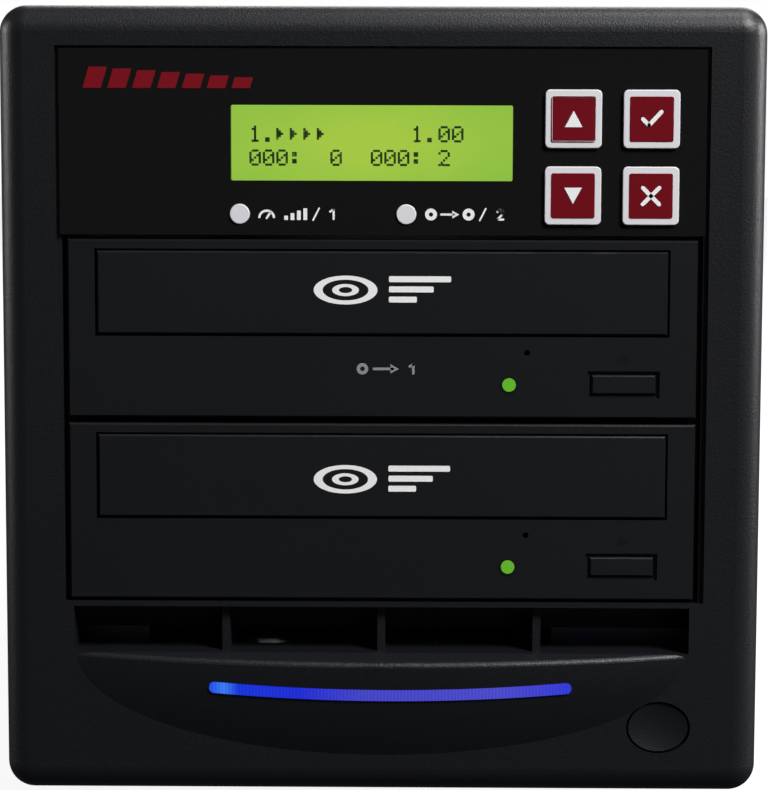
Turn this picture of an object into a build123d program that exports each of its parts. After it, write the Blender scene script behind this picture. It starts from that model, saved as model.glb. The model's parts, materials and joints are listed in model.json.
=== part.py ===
from build123d import *
from math import asin, cos, degrees, pi, radians, sin, tan
import os

# Disc duplicator tower: a small steel tower case behind a moulded front bezel, with a control
# panel and two half-height disc drives in its bays, a power supply and a fan at the rear.
# Millimetres. X to the right seen from the front, Y into the tower, Z up from the ground.
# The origin is under the middle of the tower.

# ---- driving dimensions -------------------------------------------------------------------
# front bezel
BEZEL_W = 180.0
BEZEL_H = 187.0
BEZEL_D = 28.0
BEZEL_WALL = 2.5
BEZEL_CORNER_R = 6.5
BEZEL_FRONT_R = 6.0
BEZEL_LIFT = 2.5          # bezel's lower edge above the ground
# steel case
SHEET = 1.0
CASE_W = 175.0
CASE_H = 180.0
CASE_L = 304.0
FOOT_H = 6.0
FOOT_R = 9.0
FOOT_INSET_X = 16.0
FOOT_INSET_Y = 22.0
# drive bays
BAY_W = 150.6
BAY_PITCH = 43.5
BAY_FLOOR = 46.3          # lower edge of the bay opening above the bezel's lower edge
BAY_TOP_GAP = 0.9
LEDGE_W = 1.2
LEDGE_DEPTH = 1.4
# half-height drive
DRIVE_W = 148.2
DRIVE_H = 42.0
DRIVE_BODY_W = 146.0
DRIVE_BODY_H = 41.2
DRIVE_BODY_L = 165.0
DRIVE_FRONT_T = 5.0
DRIVE_RISE = 0.7          # drive front's lower edge above the bay's lower edge
DRIVE_SET_BACK = 0.8
DRIVE_SHEET = 0.8
# control panel
PANEL_W = 151.3
PANEL_H = 43.4
PANEL_T = 2.4
PANEL_SET_BACK = 0.4
PANEL_LIFT = 0.3          # panel's lower edge above the third bay's
# clearances
RUN_FIT = 0.05            # radial clearance of a shaft in its bore
SLIP_GAP = 0.3            # gap beside a piece that slides
DOOR_GAP = 0.5            # gap round a tray door
KEY_GAP = 0.25
FAN_TIP_GAP = 1.2

# ---- places that follow -------------------------------------------------------------------
BULGE_RISE = 5.5          # how far the bezel's swelling stands out of its face
THUMB_HEAD = 6.0
REAR_REACH = SHEET + THUMB_HEAD   # cover's rear lips and the thumbscrew heads on them
TOTAL_D = BULGE_RISE + BEZEL_D + CASE_L + REAR_REACH
FACE_Y = BULGE_RISE - TOTAL_D / 2
BEZEL_BACK_Y = FACE_Y + BEZEL_D
CASE_BACK_Y = BEZEL_BACK_Y + CASE_L
BEZEL_Z = BEZEL_LIFT
BEZEL_TOP = BEZEL_LIFT + BEZEL_H
CASE_Z = FOOT_H
CASE_TOP = FOOT_H + CASE_H
BAY_Z = BEZEL_Z + BAY_FLOOR
BAY_H = 2 * BAY_PITCH + PANEL_H + BAY_TOP_GAP
DRIVE_Y = FACE_Y + DRIVE_SET_BACK
TARGET_Z = BAY_Z + DRIVE_RISE
SOURCE_Z = TARGET_Z + BAY_PITCH
PANEL_Y = FACE_Y + PANEL_SET_BACK
PANEL_Z = SOURCE_Z + BAY_PITCH - DRIVE_RISE + PANEL_LIFT


# ---- small helpers ------------------------------------------------------------------------
def block(x, y, z):
    """A box from three (low, high) pairs."""
    size = [pair[1] - pair[0] for pair in (x, y, z)]
    middle = [(pair[0] + pair[1]) / 2 for pair in (x, y, z)]
    return Pos(*middle) * Box(*size)


def centred(width, y, z, at=0.0):
    """A box of a given width centred on the plane X = at."""
    return block((at - width / 2, at + width / 2), y, z)


def rod_x(radius, x, y, z):
    """A round rod along X from x[0] to x[1]."""
    length = x[1] - x[0]
    return Pos((x[0] + x[1]) / 2, y, z) * Rot(0, 90, 0) * Cylinder(radius, length)


def rod_y(radius, x, y, z):
    """A round rod along Y from y[0] to y[1]."""
    length = y[1] - y[0]
    return Pos(x, (y[0] + y[1]) / 2, z) * Rot(90, 0, 0) * Cylinder(radius, length)


def rod_z(radius, x, y, z):
    """A round rod along Z from z[0] to z[1]."""
    length = z[1] - z[0]
    return Pos(x, y, (z[0] + z[1]) / 2) * Cylinder(radius, length)


def front_plate(outline, y):
    """A flat outline drawn as seen from the front, made thick from y[0] to y[1]."""
    plane = Plane(origin=(0, y[1], 0), x_dir=(1, 0, 0), z_dir=(0, -1, 0))
    return extrude(plane * outline, y[1] - y[0])


def rounded(width, height, radius, x, z):
    """A rounded rectangle outline centred at (x, z), as seen from the front."""
    return Pos(x, z) * RectangleRounded(width, height, radius)


def mirrored(solid):
    """The piece and its mirror image in the plane X = 0."""
    return solid + mirror(solid, Plane.YZ)


def save(node, *solids):
    """Write one node: one solid, or a group of separate ones."""
    shape = solids[0] if len(solids) == 1 else Compound(children=list(solids))
    export_step(shape, f"parts/{node}.step")


# ---- front bezel --------------------------------------------------------------------------
# swelling below the bays: the lower half of a long egg turned about an axis along X, which lies
# behind the face, so that the face cuts it along a half ellipse
BULGE_HALF_W = 72.6
BULGE_DROP = 24.7
BULGE_TOP = 34.0          # its upper ledge, above the bezel's lower edge
BULGE_LEDGE_FALL = 1.5    # ledge's front edge lower than its back
BULGE_EDGE_R = 1.2
BULGE_AXIS_Y = (BULGE_DROP**2 - BULGE_RISE**2) / (2 * BULGE_RISE)   # its axis behind the face
BULGE_R = BULGE_AXIS_Y + BULGE_RISE
BULGE_HALF_L = BULGE_HALF_W * BULGE_R / BULGE_DROP
# vents between the bays and the swelling
VENT_HALF_W = 73.2
VENT_LOW = 34.1
VENT_HIGH = 45.2
VENT_SET_BACK = 2.5       # dividers behind the bezel's face
VENT_DIVIDER = 1.9
VENT_COUNT = 4
VENT_DEPTH = 9.0
VENT_SLOT_H = 4.6         # open lower part of each vent's back wall
# light bar
BAR_X = 2.2
BAR_LENGTH = 86.0
BAR_H = 2.5
BAR_Z = 24.8              # its middle, above the bezel's lower edge
BAR_SAG = 1.5             # ends higher than the middle
BAR_PROUD = 0.4
BAR_GAP = 0.15
BAR_INSIDE = 6.0
# power button
POWER_X = 66.2
POWER_Z = 16.2
POWER_W = 14.2
POWER_H = 11.6
POWER_GAP = 0.55
POWER_SINK = 0.3
POWER_DEPTH = 9.0
POWER_TRAVEL = 2.0
POWER_DISH_R = 28.0
POWER_DISH = 0.9
POWER_STEM_R = 2.5
# screw bosses that stand on the chassis front plate
BOSS_R = 3.5
BOSS_X = (-81.8, 81.8)
BOSS_Z = (28.0, 100.0, 172.0)
BAR_BOARD_H = 9.0
BOARD_T = 1.6


def bulge_body(grow=0.0):
    """The turned body of the bezel's swelling, grown by a distance."""
    half_l, radius = BULGE_HALF_L + grow, BULGE_R + grow
    section = Ellipse(half_l, radius) & (Pos(0, radius / 2) * Rectangle(2 * half_l, radius))
    egg = revolve(section, Axis.X)
    return Pos(0, FACE_Y + BULGE_AXIS_Y, BEZEL_Z + BULGE_TOP) * egg


def make_swelling():
    """The swelling under its ledge, which falls a little to the front and is rounded there."""
    top = BEZEL_Z + BULGE_TOP
    low = BEZEL_Z + BEZEL_WALL
    side = Polygon((FACE_Y - BULGE_RISE, low), (FACE_Y + BEZEL_WALL, low), (FACE_Y + BEZEL_WALL, top),
                   (FACE_Y, top), (FACE_Y - BULGE_RISE, top - BULGE_LEDGE_FALL), align=None)
    keep = extrude(Plane(origin=(-BEZEL_W / 2, 0, 0), x_dir=(0, 1, 0), z_dir=(1, 0, 0)) * side, BEZEL_W)
    swelling = bulge_body() & keep
    boxes = [(edge, edge.bounding_box()) for edge in swelling.edges()]
    rim = [edge for edge, box in boxes if box.min.Y < FACE_Y - BULGE_RISE / 2
           and box.min.Z > top - 2 * BULGE_LEDGE_FALL]
    return fillet(rim, BULGE_EDGE_R)


def bar_outline(gap=0.0):
    """The light bar's bowed outline with round ends, as seen from the front."""
    half = (BAR_LENGTH - BAR_H) / 2
    low = (BAR_X, BEZEL_Z + BAR_Z)
    ends = [(BAR_X + side * half, BEZEL_Z + BAR_Z + BAR_SAG) for side in (-1, 1)]
    path = ThreePointArc(ends[0], low, ends[1])
    return SlotArc(path, BAR_H + 2 * gap)


def power_outline(gap=0.0):
    """The power button's oval outline, as seen from the front."""
    oval = Ellipse(POWER_W / 2 + gap, POWER_H / 2 + gap)
    return Pos(POWER_X, BEZEL_Z + POWER_Z) * oval


def make_front_bezel():
    """Moulded bezel: rounded shell, bay opening with its ledge, vents, swelling, holes."""
    middle_z = BEZEL_Z + BEZEL_H / 2
    outer = front_plate(rounded(BEZEL_W, BEZEL_H, BEZEL_CORNER_R, 0, middle_z), (FACE_Y, BEZEL_BACK_Y))
    rim = outer.faces().sort_by(Axis.Y)[0].edges()
    outer = fillet(rim, BEZEL_FRONT_R)
    inner_r = BEZEL_CORNER_R - BEZEL_WALL
    inner = rounded(BEZEL_W - 2 * BEZEL_WALL, BEZEL_H - 2 * BEZEL_WALL, inner_r, 0, middle_z)
    shell = outer - front_plate(inner, (FACE_Y + BEZEL_WALL, BEZEL_BACK_Y))
    swelling = make_swelling()
    inside = FACE_Y + BEZEL_WALL
    vent_back = centred(2 * VENT_HALF_W + 2 * BEZEL_WALL, (inside, inside + VENT_DEPTH),
                        (BEZEL_Z + VENT_LOW - BEZEL_WALL, BAY_Z))
    collar_w = BAY_W + 2 * LEDGE_W + 2 * BEZEL_WALL
    collar = centred(collar_w, (FACE_Y + BEZEL_WALL, FACE_Y + LEDGE_DEPTH + 2 * BEZEL_WALL),
                     (BAY_Z - LEDGE_W, BAY_Z + BAY_H + BEZEL_WALL))
    power_collar = front_plate(power_outline(POWER_GAP + BEZEL_WALL), (inside, FACE_Y + POWER_DEPTH))
    body = shell + swelling + vent_back + collar + power_collar
    for x in BOSS_X:
        for height in BOSS_Z:
            body += rod_y(BOSS_R, x, (FACE_Y + BEZEL_WALL, BEZEL_BACK_Y), BEZEL_Z + height)
    ledge = centred(BAY_W + 2 * LEDGE_W, (FACE_Y, FACE_Y + LEDGE_DEPTH), (BAY_Z, BAY_Z + BAY_H))
    bay = centred(BAY_W, (FACE_Y, BEZEL_BACK_Y), (BAY_Z, BAY_Z + BAY_H))
    body -= ledge
    body -= bay
    for pocket in vent_pockets():
        body -= pocket
    body -= front_plate(bar_outline(BAR_GAP), (FACE_Y - BULGE_RISE, FACE_Y + BEZEL_D))
    body -= front_plate(power_outline(POWER_GAP), (FACE_Y, FACE_Y + BEZEL_D))
    return body


def vent_spans():
    """Left and right edge of each vent."""
    pitch = (2 * VENT_HALF_W + VENT_DIVIDER) / VENT_COUNT
    lefts = [-VENT_HALF_W + number * pitch for number in range(VENT_COUNT)]
    return [(left, left + pitch - VENT_DIVIDER) for left in lefts]


def vent_pockets():
    """Each vent: a pocket whose upper back slopes to the face, open behind its lower part."""
    low, high = BEZEL_Z + VENT_LOW, BEZEL_Z + VENT_HIGH
    slot_top = low + VENT_SLOT_H
    side = Polygon((FACE_Y, low), (FACE_Y + VENT_DEPTH, low), (FACE_Y + VENT_DEPTH, slot_top),
                   (FACE_Y + BEZEL_WALL, high), (FACE_Y, high), align=None)
    pockets = []
    for left, right in vent_spans():
        wedge = extrude(Plane(origin=(left, 0, 0), x_dir=(0, 1, 0), z_dir=(1, 0, 0)) * side, right - left)
        slot = block((left, right), (FACE_Y, FACE_Y + BEZEL_D), (low, slot_top))
        pockets.append(wedge + slot)
    pockets.append(centred(2 * VENT_HALF_W, (FACE_Y, FACE_Y + VENT_SET_BACK), (low, high)))
    return pockets


def make_light_bar():
    """Clear bar that follows the swelling, with a backing flange inside the bezel."""
    reach = FACE_Y + BEZEL_WALL + BAR_INSIDE
    bar = front_plate(bar_outline(), (FACE_Y - BULGE_RISE - BAR_PROUD, reach))
    return bar & (bulge_body(BAR_PROUD) + centred(BEZEL_W, (FACE_Y, reach), (BEZEL_Z, BEZEL_TOP)))


def make_light_board():
    """Strip of circuit board with the lamps behind the light bar."""
    front = FACE_Y + BEZEL_WALL + BAR_INSIDE
    z = BEZEL_Z + BAR_Z
    board = centred(BAR_LENGTH, (front, front + BOARD_T), (z - BAR_BOARD_H / 2, z + BAR_BOARD_H / 2), BAR_X)
    return board


def make_power_button():
    """Oval dished button with a flange that keeps it in the bezel and a stem to the switch."""
    front = FACE_Y + POWER_SINK
    cap = front_plate(power_outline(), (front, FACE_Y + POWER_DEPTH + SLIP_GAP))
    dish_y = front + POWER_DISH - POWER_DISH_R
    cap -= Pos(POWER_X, dish_y, BEZEL_Z + POWER_Z) * Sphere(POWER_DISH_R)
    flange_y = FACE_Y + POWER_DEPTH + SLIP_GAP
    flange = front_plate(power_outline(POWER_GAP + BEZEL_WALL / 2), (flange_y, flange_y + BEZEL_WALL / 2))
    stem_end = flange_y + BEZEL_WALL / 2 + POWER_TRAVEL
    stem = rod_y(POWER_STEM_R, POWER_X, (flange_y, stem_end), BEZEL_Z + POWER_Z)
    return cap + flange + stem


def power_stem_end():
    """Where the power button's stem ends at rest."""
    return FACE_Y + POWER_DEPTH + SLIP_GAP + BEZEL_WALL / 2 + POWER_TRAVEL


def make_power_switch():
    """Switch body behind the power button, standing on the chassis front plate."""
    front = power_stem_end() + POWER_TRAVEL + SLIP_GAP
    z = BEZEL_Z + POWER_Z
    half = POWER_H / 2
    return centred(POWER_H, (front, BEZEL_BACK_Y), (z - half, z + half), POWER_X)


# ---- control panel ------------------------------------------------------------------------
LCD_X = -2.5
LCD_Z = 21.5              # window's middle above the panel's lower edge
LCD_W = 65.4
LCD_H = 17.1
LCD_R = 0.4
WINDOW_T = 1.2
KEY_W = 13.2
KEY_H = 13.6
KEY_R = 1.2
KEY_PITCH_X = 18.2
KEY_PITCH_Z = 17.85
KEY_LEFT_X = 44.5
KEY_LOW_Z = 9.4           # lower row's middle above the panel's lower edge
KEY_PROUD = 0.9
KEY_TRAVEL = 0.5
KEY_FLANGE = 0.8
KEY_FLANGE_T = 0.8
ROUND_KEY_R = 2.35
ROUND_KEY_Z = 4.9
ROUND_KEY_X = (-33.4, 5.6)
KEY_STEM_R = 1.3
SWITCH_W = 6.0
SWITCH_H = 3.6
BOARD_GAP = 9.0           # board's front face behind the panel's back face
BOARD_W = 149.0
BOARD_H = 38.0
PANEL_SHELF_T = 1.6       # shelf along the panel's lower edge, under the board
LCD_MODULE_W = 80.0
LCD_MODULE_T = 5.0
STANDOFF_R = 1.9
STANDOFF_X = (-72.4, 72.4)
STANDOFF_Z = (7.0, 37.0)

PANEL_BACK_Y = PANEL_Y + PANEL_T
BOARD_Y = PANEL_BACK_Y + BOARD_GAP
CHIP_W = 24.0
CHIP_T = 2.0
PORT_COUNT = 3
PORT_X = 2.0
PORT_PITCH = 16.0
PORT_W = 8.0
PORT_L = 7.0


def key_places():
    """Each key's name and middle, as (x, height above the panel's lower edge)."""
    right = KEY_LEFT_X + KEY_PITCH_X
    high = KEY_LOW_Z + KEY_PITCH_Z
    square = {
        "key_up": (KEY_LEFT_X, high),
        "key_down": (KEY_LEFT_X, KEY_LOW_Z),
        "key_enter": (right, high),
        "key_escape": (right, KEY_LOW_Z),
    }
    round_keys = {
        "key_speed": (ROUND_KEY_X[0], ROUND_KEY_Z),
        "key_source": (ROUND_KEY_X[1], ROUND_KEY_Z),
    }
    return square, round_keys


def key_outline(square, x, z, gap=0.0):
    """A key's outline as seen from the front, grown by a gap."""
    if square:
        return rounded(KEY_W + 2 * gap, KEY_H + 2 * gap, KEY_R + gap, x, PANEL_Z + z)
    return Pos(x, PANEL_Z + z) * Circle(ROUND_KEY_R + gap)


def make_control_panel():
    """Flat panel with the window and key holes, and four standoffs for its board."""
    z = (PANEL_Z, PANEL_Z + PANEL_H)
    panel = centred(PANEL_W, (PANEL_Y, FACE_Y + LEDGE_DEPTH), z)
    panel += centred(BAY_W - 2 * KEY_GAP, (PANEL_Y, PANEL_BACK_Y), z)
    panel += centred(BAY_W, (PANEL_BACK_Y, BOARD_Y + BOARD_T), (z[0], z[0] + PANEL_SHELF_T))
    for x in STANDOFF_X:
        for height in STANDOFF_Z:
            panel += rod_y(STANDOFF_R, x, (PANEL_BACK_Y, BOARD_Y), PANEL_Z + height)
    window = rounded(LCD_W + 2 * KEY_GAP, LCD_H + 2 * KEY_GAP, LCD_R, LCD_X, PANEL_Z + LCD_Z)
    panel -= front_plate(window, (PANEL_Y, PANEL_BACK_Y))
    square, round_keys = key_places()
    for places, is_square in ((square, True), (round_keys, False)):
        for x, height in places.values():
            panel -= front_plate(key_outline(is_square, x, height, KEY_GAP), (PANEL_Y, PANEL_BACK_Y))
    return panel


def make_key(is_square, x, height):
    """Key cap standing out of the panel, with a flange behind it and a stem to its switch."""
    proud = KEY_PROUD if is_square else KEY_PROUD / 2
    front = PANEL_Y - proud
    flange_y = PANEL_BACK_Y + SLIP_GAP / 2
    cap = front_plate(key_outline(is_square, x, height), (front, flange_y))
    rim = cap.faces().sort_by(Axis.Y)[0].edges()
    cap = fillet(rim, KEY_GAP)
    flange = front_plate(key_outline(is_square, x, height, KEY_FLANGE), (flange_y, flange_y + KEY_FLANGE_T))
    stem_end = BOARD_Y - SWITCH_H - KEY_TRAVEL - SLIP_GAP / 2
    stem = rod_y(KEY_STEM_R, x, (flange_y, stem_end), PANEL_Z + height)
    return cap + flange + stem


def make_display_window():
    """Clear window let into the panel."""
    outline = rounded(LCD_W, LCD_H, LCD_R, LCD_X, PANEL_Z + LCD_Z)
    return front_plate(outline, (PANEL_Y, PANEL_Y + WINDOW_T))


def make_lcd_module():
    """Display module: its glass reaches into the window's hole, its frame lies on the board."""
    z = PANEL_Z + LCD_Z
    glass = front_plate(rounded(LCD_W, LCD_H, LCD_R, LCD_X, z), (PANEL_Y + WINDOW_T, PANEL_BACK_Y))
    low_z = z - LCD_H / 2 - KEY_FLANGE
    frame_h = PANEL_Z + PANEL_H - PANEL_T - low_z
    frame_z = low_z + frame_h / 2
    frame = front_plate(rounded(LCD_MODULE_W - 2 * KEY_R, frame_h, KEY_R, LCD_X, frame_z),
                        (PANEL_BACK_Y, PANEL_BACK_Y + LCD_MODULE_T))
    legs = [rod_y(KEY_STEM_R, LCD_X + side * LCD_W / 2, (PANEL_BACK_Y + LCD_MODULE_T, BOARD_Y), frame_z)
            for side in (-1, 1)]
    return glass + frame + legs[0] + legs[1]


def make_controller_board():
    """Circuit board behind the panel with the key switches, a processor and its connectors."""
    low = PANEL_Z + PANEL_SHELF_T
    board = centred(BOARD_W, (BOARD_Y, BOARD_Y + BOARD_T), (low, low + BOARD_H))
    square, round_keys = key_places()
    half = SWITCH_W / 2
    for x, height in [*square.values(), *round_keys.values()]:
        z = PANEL_Z + height
        board += block((x - half, x + half), (BOARD_Y - SWITCH_H, BOARD_Y), (z - half, z + half))
    back = BOARD_Y + BOARD_T
    middle = PANEL_Z + PANEL_H / 2
    chip = centred(CHIP_W, (back, back + CHIP_T), (middle - CHIP_W / 2, middle + CHIP_W / 2), -CHIP_W)
    board += chip
    for number in range(PORT_COUNT):
        x = PORT_X + number * PORT_PITCH
        board += block((x, x + PORT_W), (back, back + PORT_L), (middle - PORT_W / 2, middle + PORT_W / 2))
    return board


# ---- disc drive ---------------------------------------------------------------------------
# Heights in this section are above the drive's own lower edge, and depths are behind its front
# face. Both drives are the same and each is moved into its bay at the end.
DOOR_W = 134.3
DOOR_LOW = 19.7
DOOR_HIGH = 39.3
DOOR_T = 3.0
DOOR_PROUD = 0.2
TRAY_W = 131.0
TRAY_LOW = 23.5
TRAY_HIGH = 30.5
TRAY_BACK = 154.0
DISC_Y = 66.0             # disc's middle
POCKET_R = 60.6
POCKET_DEPTH = 4.0
SMALL_POCKET_R = 40.6
SMALL_POCKET_DEPTH = 1.2
HUB_WINDOW_R = 21.0
LED_X = 30.0
LED_Z = 7.9
LED_R = 1.6
PINHOLE_X = 34.2
PINHOLE_Z = 15.5
PINHOLE_R = 0.7
EJECT_X = 57.0
EJECT_Z = 8.0
EJECT_W = 15.2
EJECT_H = 4.65
EJECT_RECESS_W = 17.0
EJECT_RECESS_H = 6.4
EJECT_RECESS = 0.8
EJECT_TRAVEL = 1.0
FRAME_HALF_W = 68.0       # outer face of the loader frame's side walls
FRAME_WALL = 2.0
WINDOW_SIDE = 1.0         # floor opening wider than the deck, each side
WINDOW_FRONT = 2.0
WINDOW_BACK = 4.0
LIP_INSET = 1.0           # upper lips shorter than the ledges
FRAME_FRONT = 6.0
FRAME_BACK = 161.0
FRAME_FLOOR = (DRIVE_H - DRIVE_BODY_H) / 2 + DRIVE_SHEET
FRAME_FLOOR_T = 2.0
FRAME_TOP = 36.0
DECK_HALF_W = 50.0
DECK_FRONT = 36.0
DECK_BACK = 152.0
DECK_Z = 12.0
DECK_T = 2.0
PIVOT_Y = 148.0
PIVOT_R = 2.0
PIVOT_BLOCK = 5.0
PIVOT_GAP = 1.5           # block beside the deck's edge
LIFT_ANGLE = 3.5
LIFT_PIN_X = -8.0
LIFT_PIN_R = 1.2
CAM_TRAVEL = 20.0
CAM_FRONT = 29.0
CAM_T = 2.5
CAM_GAP = 0.45            # round the deck's pin, which tilts in the slot
CAM_EDGE = 12.0           # plate left beside each end of the cam slot
CAM_TOP_EDGE = 2.0
SPINDLE_R = 1.5
ROTOR_R = 12.0
ROTOR_LOW = 17.4
PLATTER_R = 15.0
PLATTER_LOW = 25.2
PLATTER_TOP = 27.0
HUB_R = 7.3
HUB_H = 1.4
GUIDE_X = 25.0
GUIDE_R = 1.25
GUIDE_Z = 18.0
GUIDE_FRONT = 79.5
GUIDE_BACK = 142.5
GUIDE_POST = 4.0
WHEEL_SETBACK = 1.0       # screw's wheel from the deck's back edge
SCREW_X = 33.0
SCREW_R = 1.5
SLED_TRAVEL = 32.0
SLED_FRONT = 84.5
SLED_L = 22.0
SLED_HALF_W = 18.0
SLED_LOW = 14.8
SLED_TOP = 21.6
LENS_R = 3.4
LENS_TOP = 23.6
GEAR_X = -48.0
GEAR_Y = 17.0
GEAR_MODULE = 1.0
GEAR_TEETH = 20
GEAR_LOW = 19.9
GEAR_T = 3.2
TOOTH_HALF = 0.58         # half thickness of a tooth on the pitch line
TOOTH_OUT = 0.8
ROOT_OVERLAP = 0.05       # teeth reach this far into the wheel
TOOTH_IN = 1.15
GEAR_POST_R = 2.0
RACK_FRONT = 13.0
RACK_WIDTH = 3.2
CLAMP_R = 14.0
CLAMP_RISE = 0.3          # clamp above the tray, on top of the slip gap
CLAMP_NECK_R = 8.0
CLAMP_TOP_R = 11.0
BRIDGE_HALF_L = 16.0
BRIDGE_T = 1.8

PITCH_R = GEAR_MODULE * GEAR_TEETH / 2
RACK_LINE_X = GEAR_X + PITCH_R
LIFT_DROP = (PIVOT_Y - CAM_FRONT - CAM_T / 2) * sin(radians(LIFT_ANGLE))
DRIVE_BOARD_FRONT = 12.0
REAR_BOARD_W = 90.0
REAR_BOARD_L = 12.5
REAR_SOCKET_L = 9.0
PAN_FLANGE_H = 7.0
DRIVE_SCREW_R = 1.5
DRIVE_SCREW_Y = (52.0, 131.0)
DRIVE_SCREW_Z = 10.0
PRESS_R = 34.0
PRESS_DEPTH = 0.5
DRIVE_PORT_W = 60.0
DRIVE_PORT_H = 6.0
BOARD_STRIP_W = 44.0
LEDGE_GRIP = 5.0
PRESSURE_ANGLE = 20.0


def make_drive_bezel():
    """Drive front with the door opening, lamp hole, emergency hole and eject button recess."""
    face = centred(DRIVE_W, (0, DRIVE_FRONT_T), (0, DRIVE_H))
    face = chamfer(face.faces().sort_by(Axis.Y)[0].edges(), DRIVE_SHEET / 2)
    door_z = (DOOR_LOW - DOOR_GAP, DOOR_HIGH + DOOR_GAP)
    face -= centred(DOOR_W + 2 * DOOR_GAP, (0, DRIVE_FRONT_T), door_z)
    face -= rod_y(LED_R, LED_X, (0, DRIVE_FRONT_T), LED_Z)
    face -= rod_y(PINHOLE_R, PINHOLE_X, (0, DRIVE_FRONT_T), PINHOLE_Z)
    half = EJECT_RECESS_H / 2
    face -= centred(EJECT_RECESS_W, (0, EJECT_RECESS), (EJECT_Z - half, EJECT_Z + half), EJECT_X)
    gap_h = EJECT_H / 2 + KEY_GAP
    face -= centred(EJECT_W + 2 * KEY_GAP, (0, DRIVE_FRONT_T), (EJECT_Z - gap_h, EJECT_Z + gap_h), EJECT_X)
    return face


def make_status_lens():
    """Round lamp lens let into the drive front, reaching back to the drive's board."""
    return rod_y(LED_R, LED_X, (-DOOR_PROUD, DRIVE_BOARD_FRONT), LED_Z)


def make_eject_button():
    """Bar-shaped button with a flange behind the drive front and a stem to its switch."""
    half = EJECT_H / 2
    cap = centred(EJECT_W, (0, DRIVE_FRONT_T + SLIP_GAP), (EJECT_Z - half, EJECT_Z + half), EJECT_X)
    cap = chamfer(cap.faces().sort_by(Axis.Y)[0].edges(), DRIVE_SHEET / 2)
    flange_y = (DRIVE_FRONT_T + SLIP_GAP, DRIVE_FRONT_T + SLIP_GAP + DRIVE_SHEET)
    flange_z = (EJECT_Z - half - KEY_FLANGE, EJECT_Z + half)
    cap += centred(EJECT_W + 2 * KEY_FLANGE, flange_y, flange_z, EJECT_X)
    stem_end = DRIVE_BOARD_FRONT - EJECT_TRAVEL - SLIP_GAP
    cap += centred(KEY_STEM_R * 2, (flange_y[0], stem_end), (EJECT_Z - half, EJECT_Z), EJECT_X)
    return cap


def make_drive_base():
    """Folded steel pan under the drive."""
    inner = DRIVE_BODY_W - 2 * DRIVE_SHEET
    y = (DRIVE_FRONT_T, DRIVE_FRONT_T + DRIVE_BODY_L)
    low = (DRIVE_H - DRIVE_BODY_H) / 2
    pan = centred(inner, y, (low, low + PAN_FLANGE_H))
    pan -= centred(inner - 2 * DRIVE_SHEET, (y[0], y[1] - DRIVE_SHEET),
                   (low + DRIVE_SHEET, low + PAN_FLANGE_H))
    return pan


def make_drive_cover():
    """Steel lid that wraps the drive's top, sides and back."""
    y = (DRIVE_FRONT_T, DRIVE_FRONT_T + DRIVE_BODY_L)
    low = (DRIVE_H - DRIVE_BODY_H) / 2
    top = low + DRIVE_BODY_H
    lid = centred(DRIVE_BODY_W, y, (low, top))
    lid -= centred(DRIVE_BODY_W - 2 * DRIVE_SHEET, (y[0], y[1]), (low, top - DRIVE_SHEET))
    back_low = low + PAN_FLANGE_H
    back_y = (y[1] - DRIVE_SHEET, y[1])
    lid += centred(DRIVE_BODY_W - 2 * DRIVE_SHEET, back_y, (back_low, top - DRIVE_SHEET))
    lid -= rod_z(PRESS_R, 0, DISC_Y, (top - PRESS_DEPTH, top))
    port = centred(DRIVE_PORT_W, (y[1] - DRIVE_SHEET, y[1]), (back_low, back_low + DRIVE_PORT_H))
    lid -= port
    for screw_y in DRIVE_SCREW_Y:
        lid -= rod_x(DRIVE_SCREW_R, (-DRIVE_BODY_W, DRIVE_BODY_W), screw_y, DRIVE_SCREW_Z)
    return lid


def make_drive_board():
    """Drive's two boards: the upright front strip, and the rear one with its sockets."""
    floor_top = FRAME_FLOOR + FRAME_FLOOR_T
    front = centred(BOARD_STRIP_W, (DRIVE_BOARD_FRONT, DRIVE_BOARD_FRONT + BOARD_T),
                    (floor_top, LED_Z + 2 * LED_R), (LED_X + EJECT_X) / 2)
    back_y = DRIVE_FRONT_T + DRIVE_BODY_L
    rear_y = (back_y - DRIVE_SHEET - REAR_BOARD_L, back_y - DRIVE_SHEET)
    rear = centred(REAR_BOARD_W, rear_y, (floor_top, floor_top + BOARD_T))
    socket_top = (DRIVE_H - DRIVE_BODY_H) / 2 + PAN_FLANGE_H + DRIVE_PORT_H - KEY_GAP
    socket_y = (back_y - DRIVE_SHEET - REAR_SOCKET_L, back_y - DRIVE_SHEET)
    sockets = centred(DRIVE_PORT_W - 2 * KEY_GAP, socket_y, (floor_top, socket_top))
    return front, rear + sockets


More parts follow.
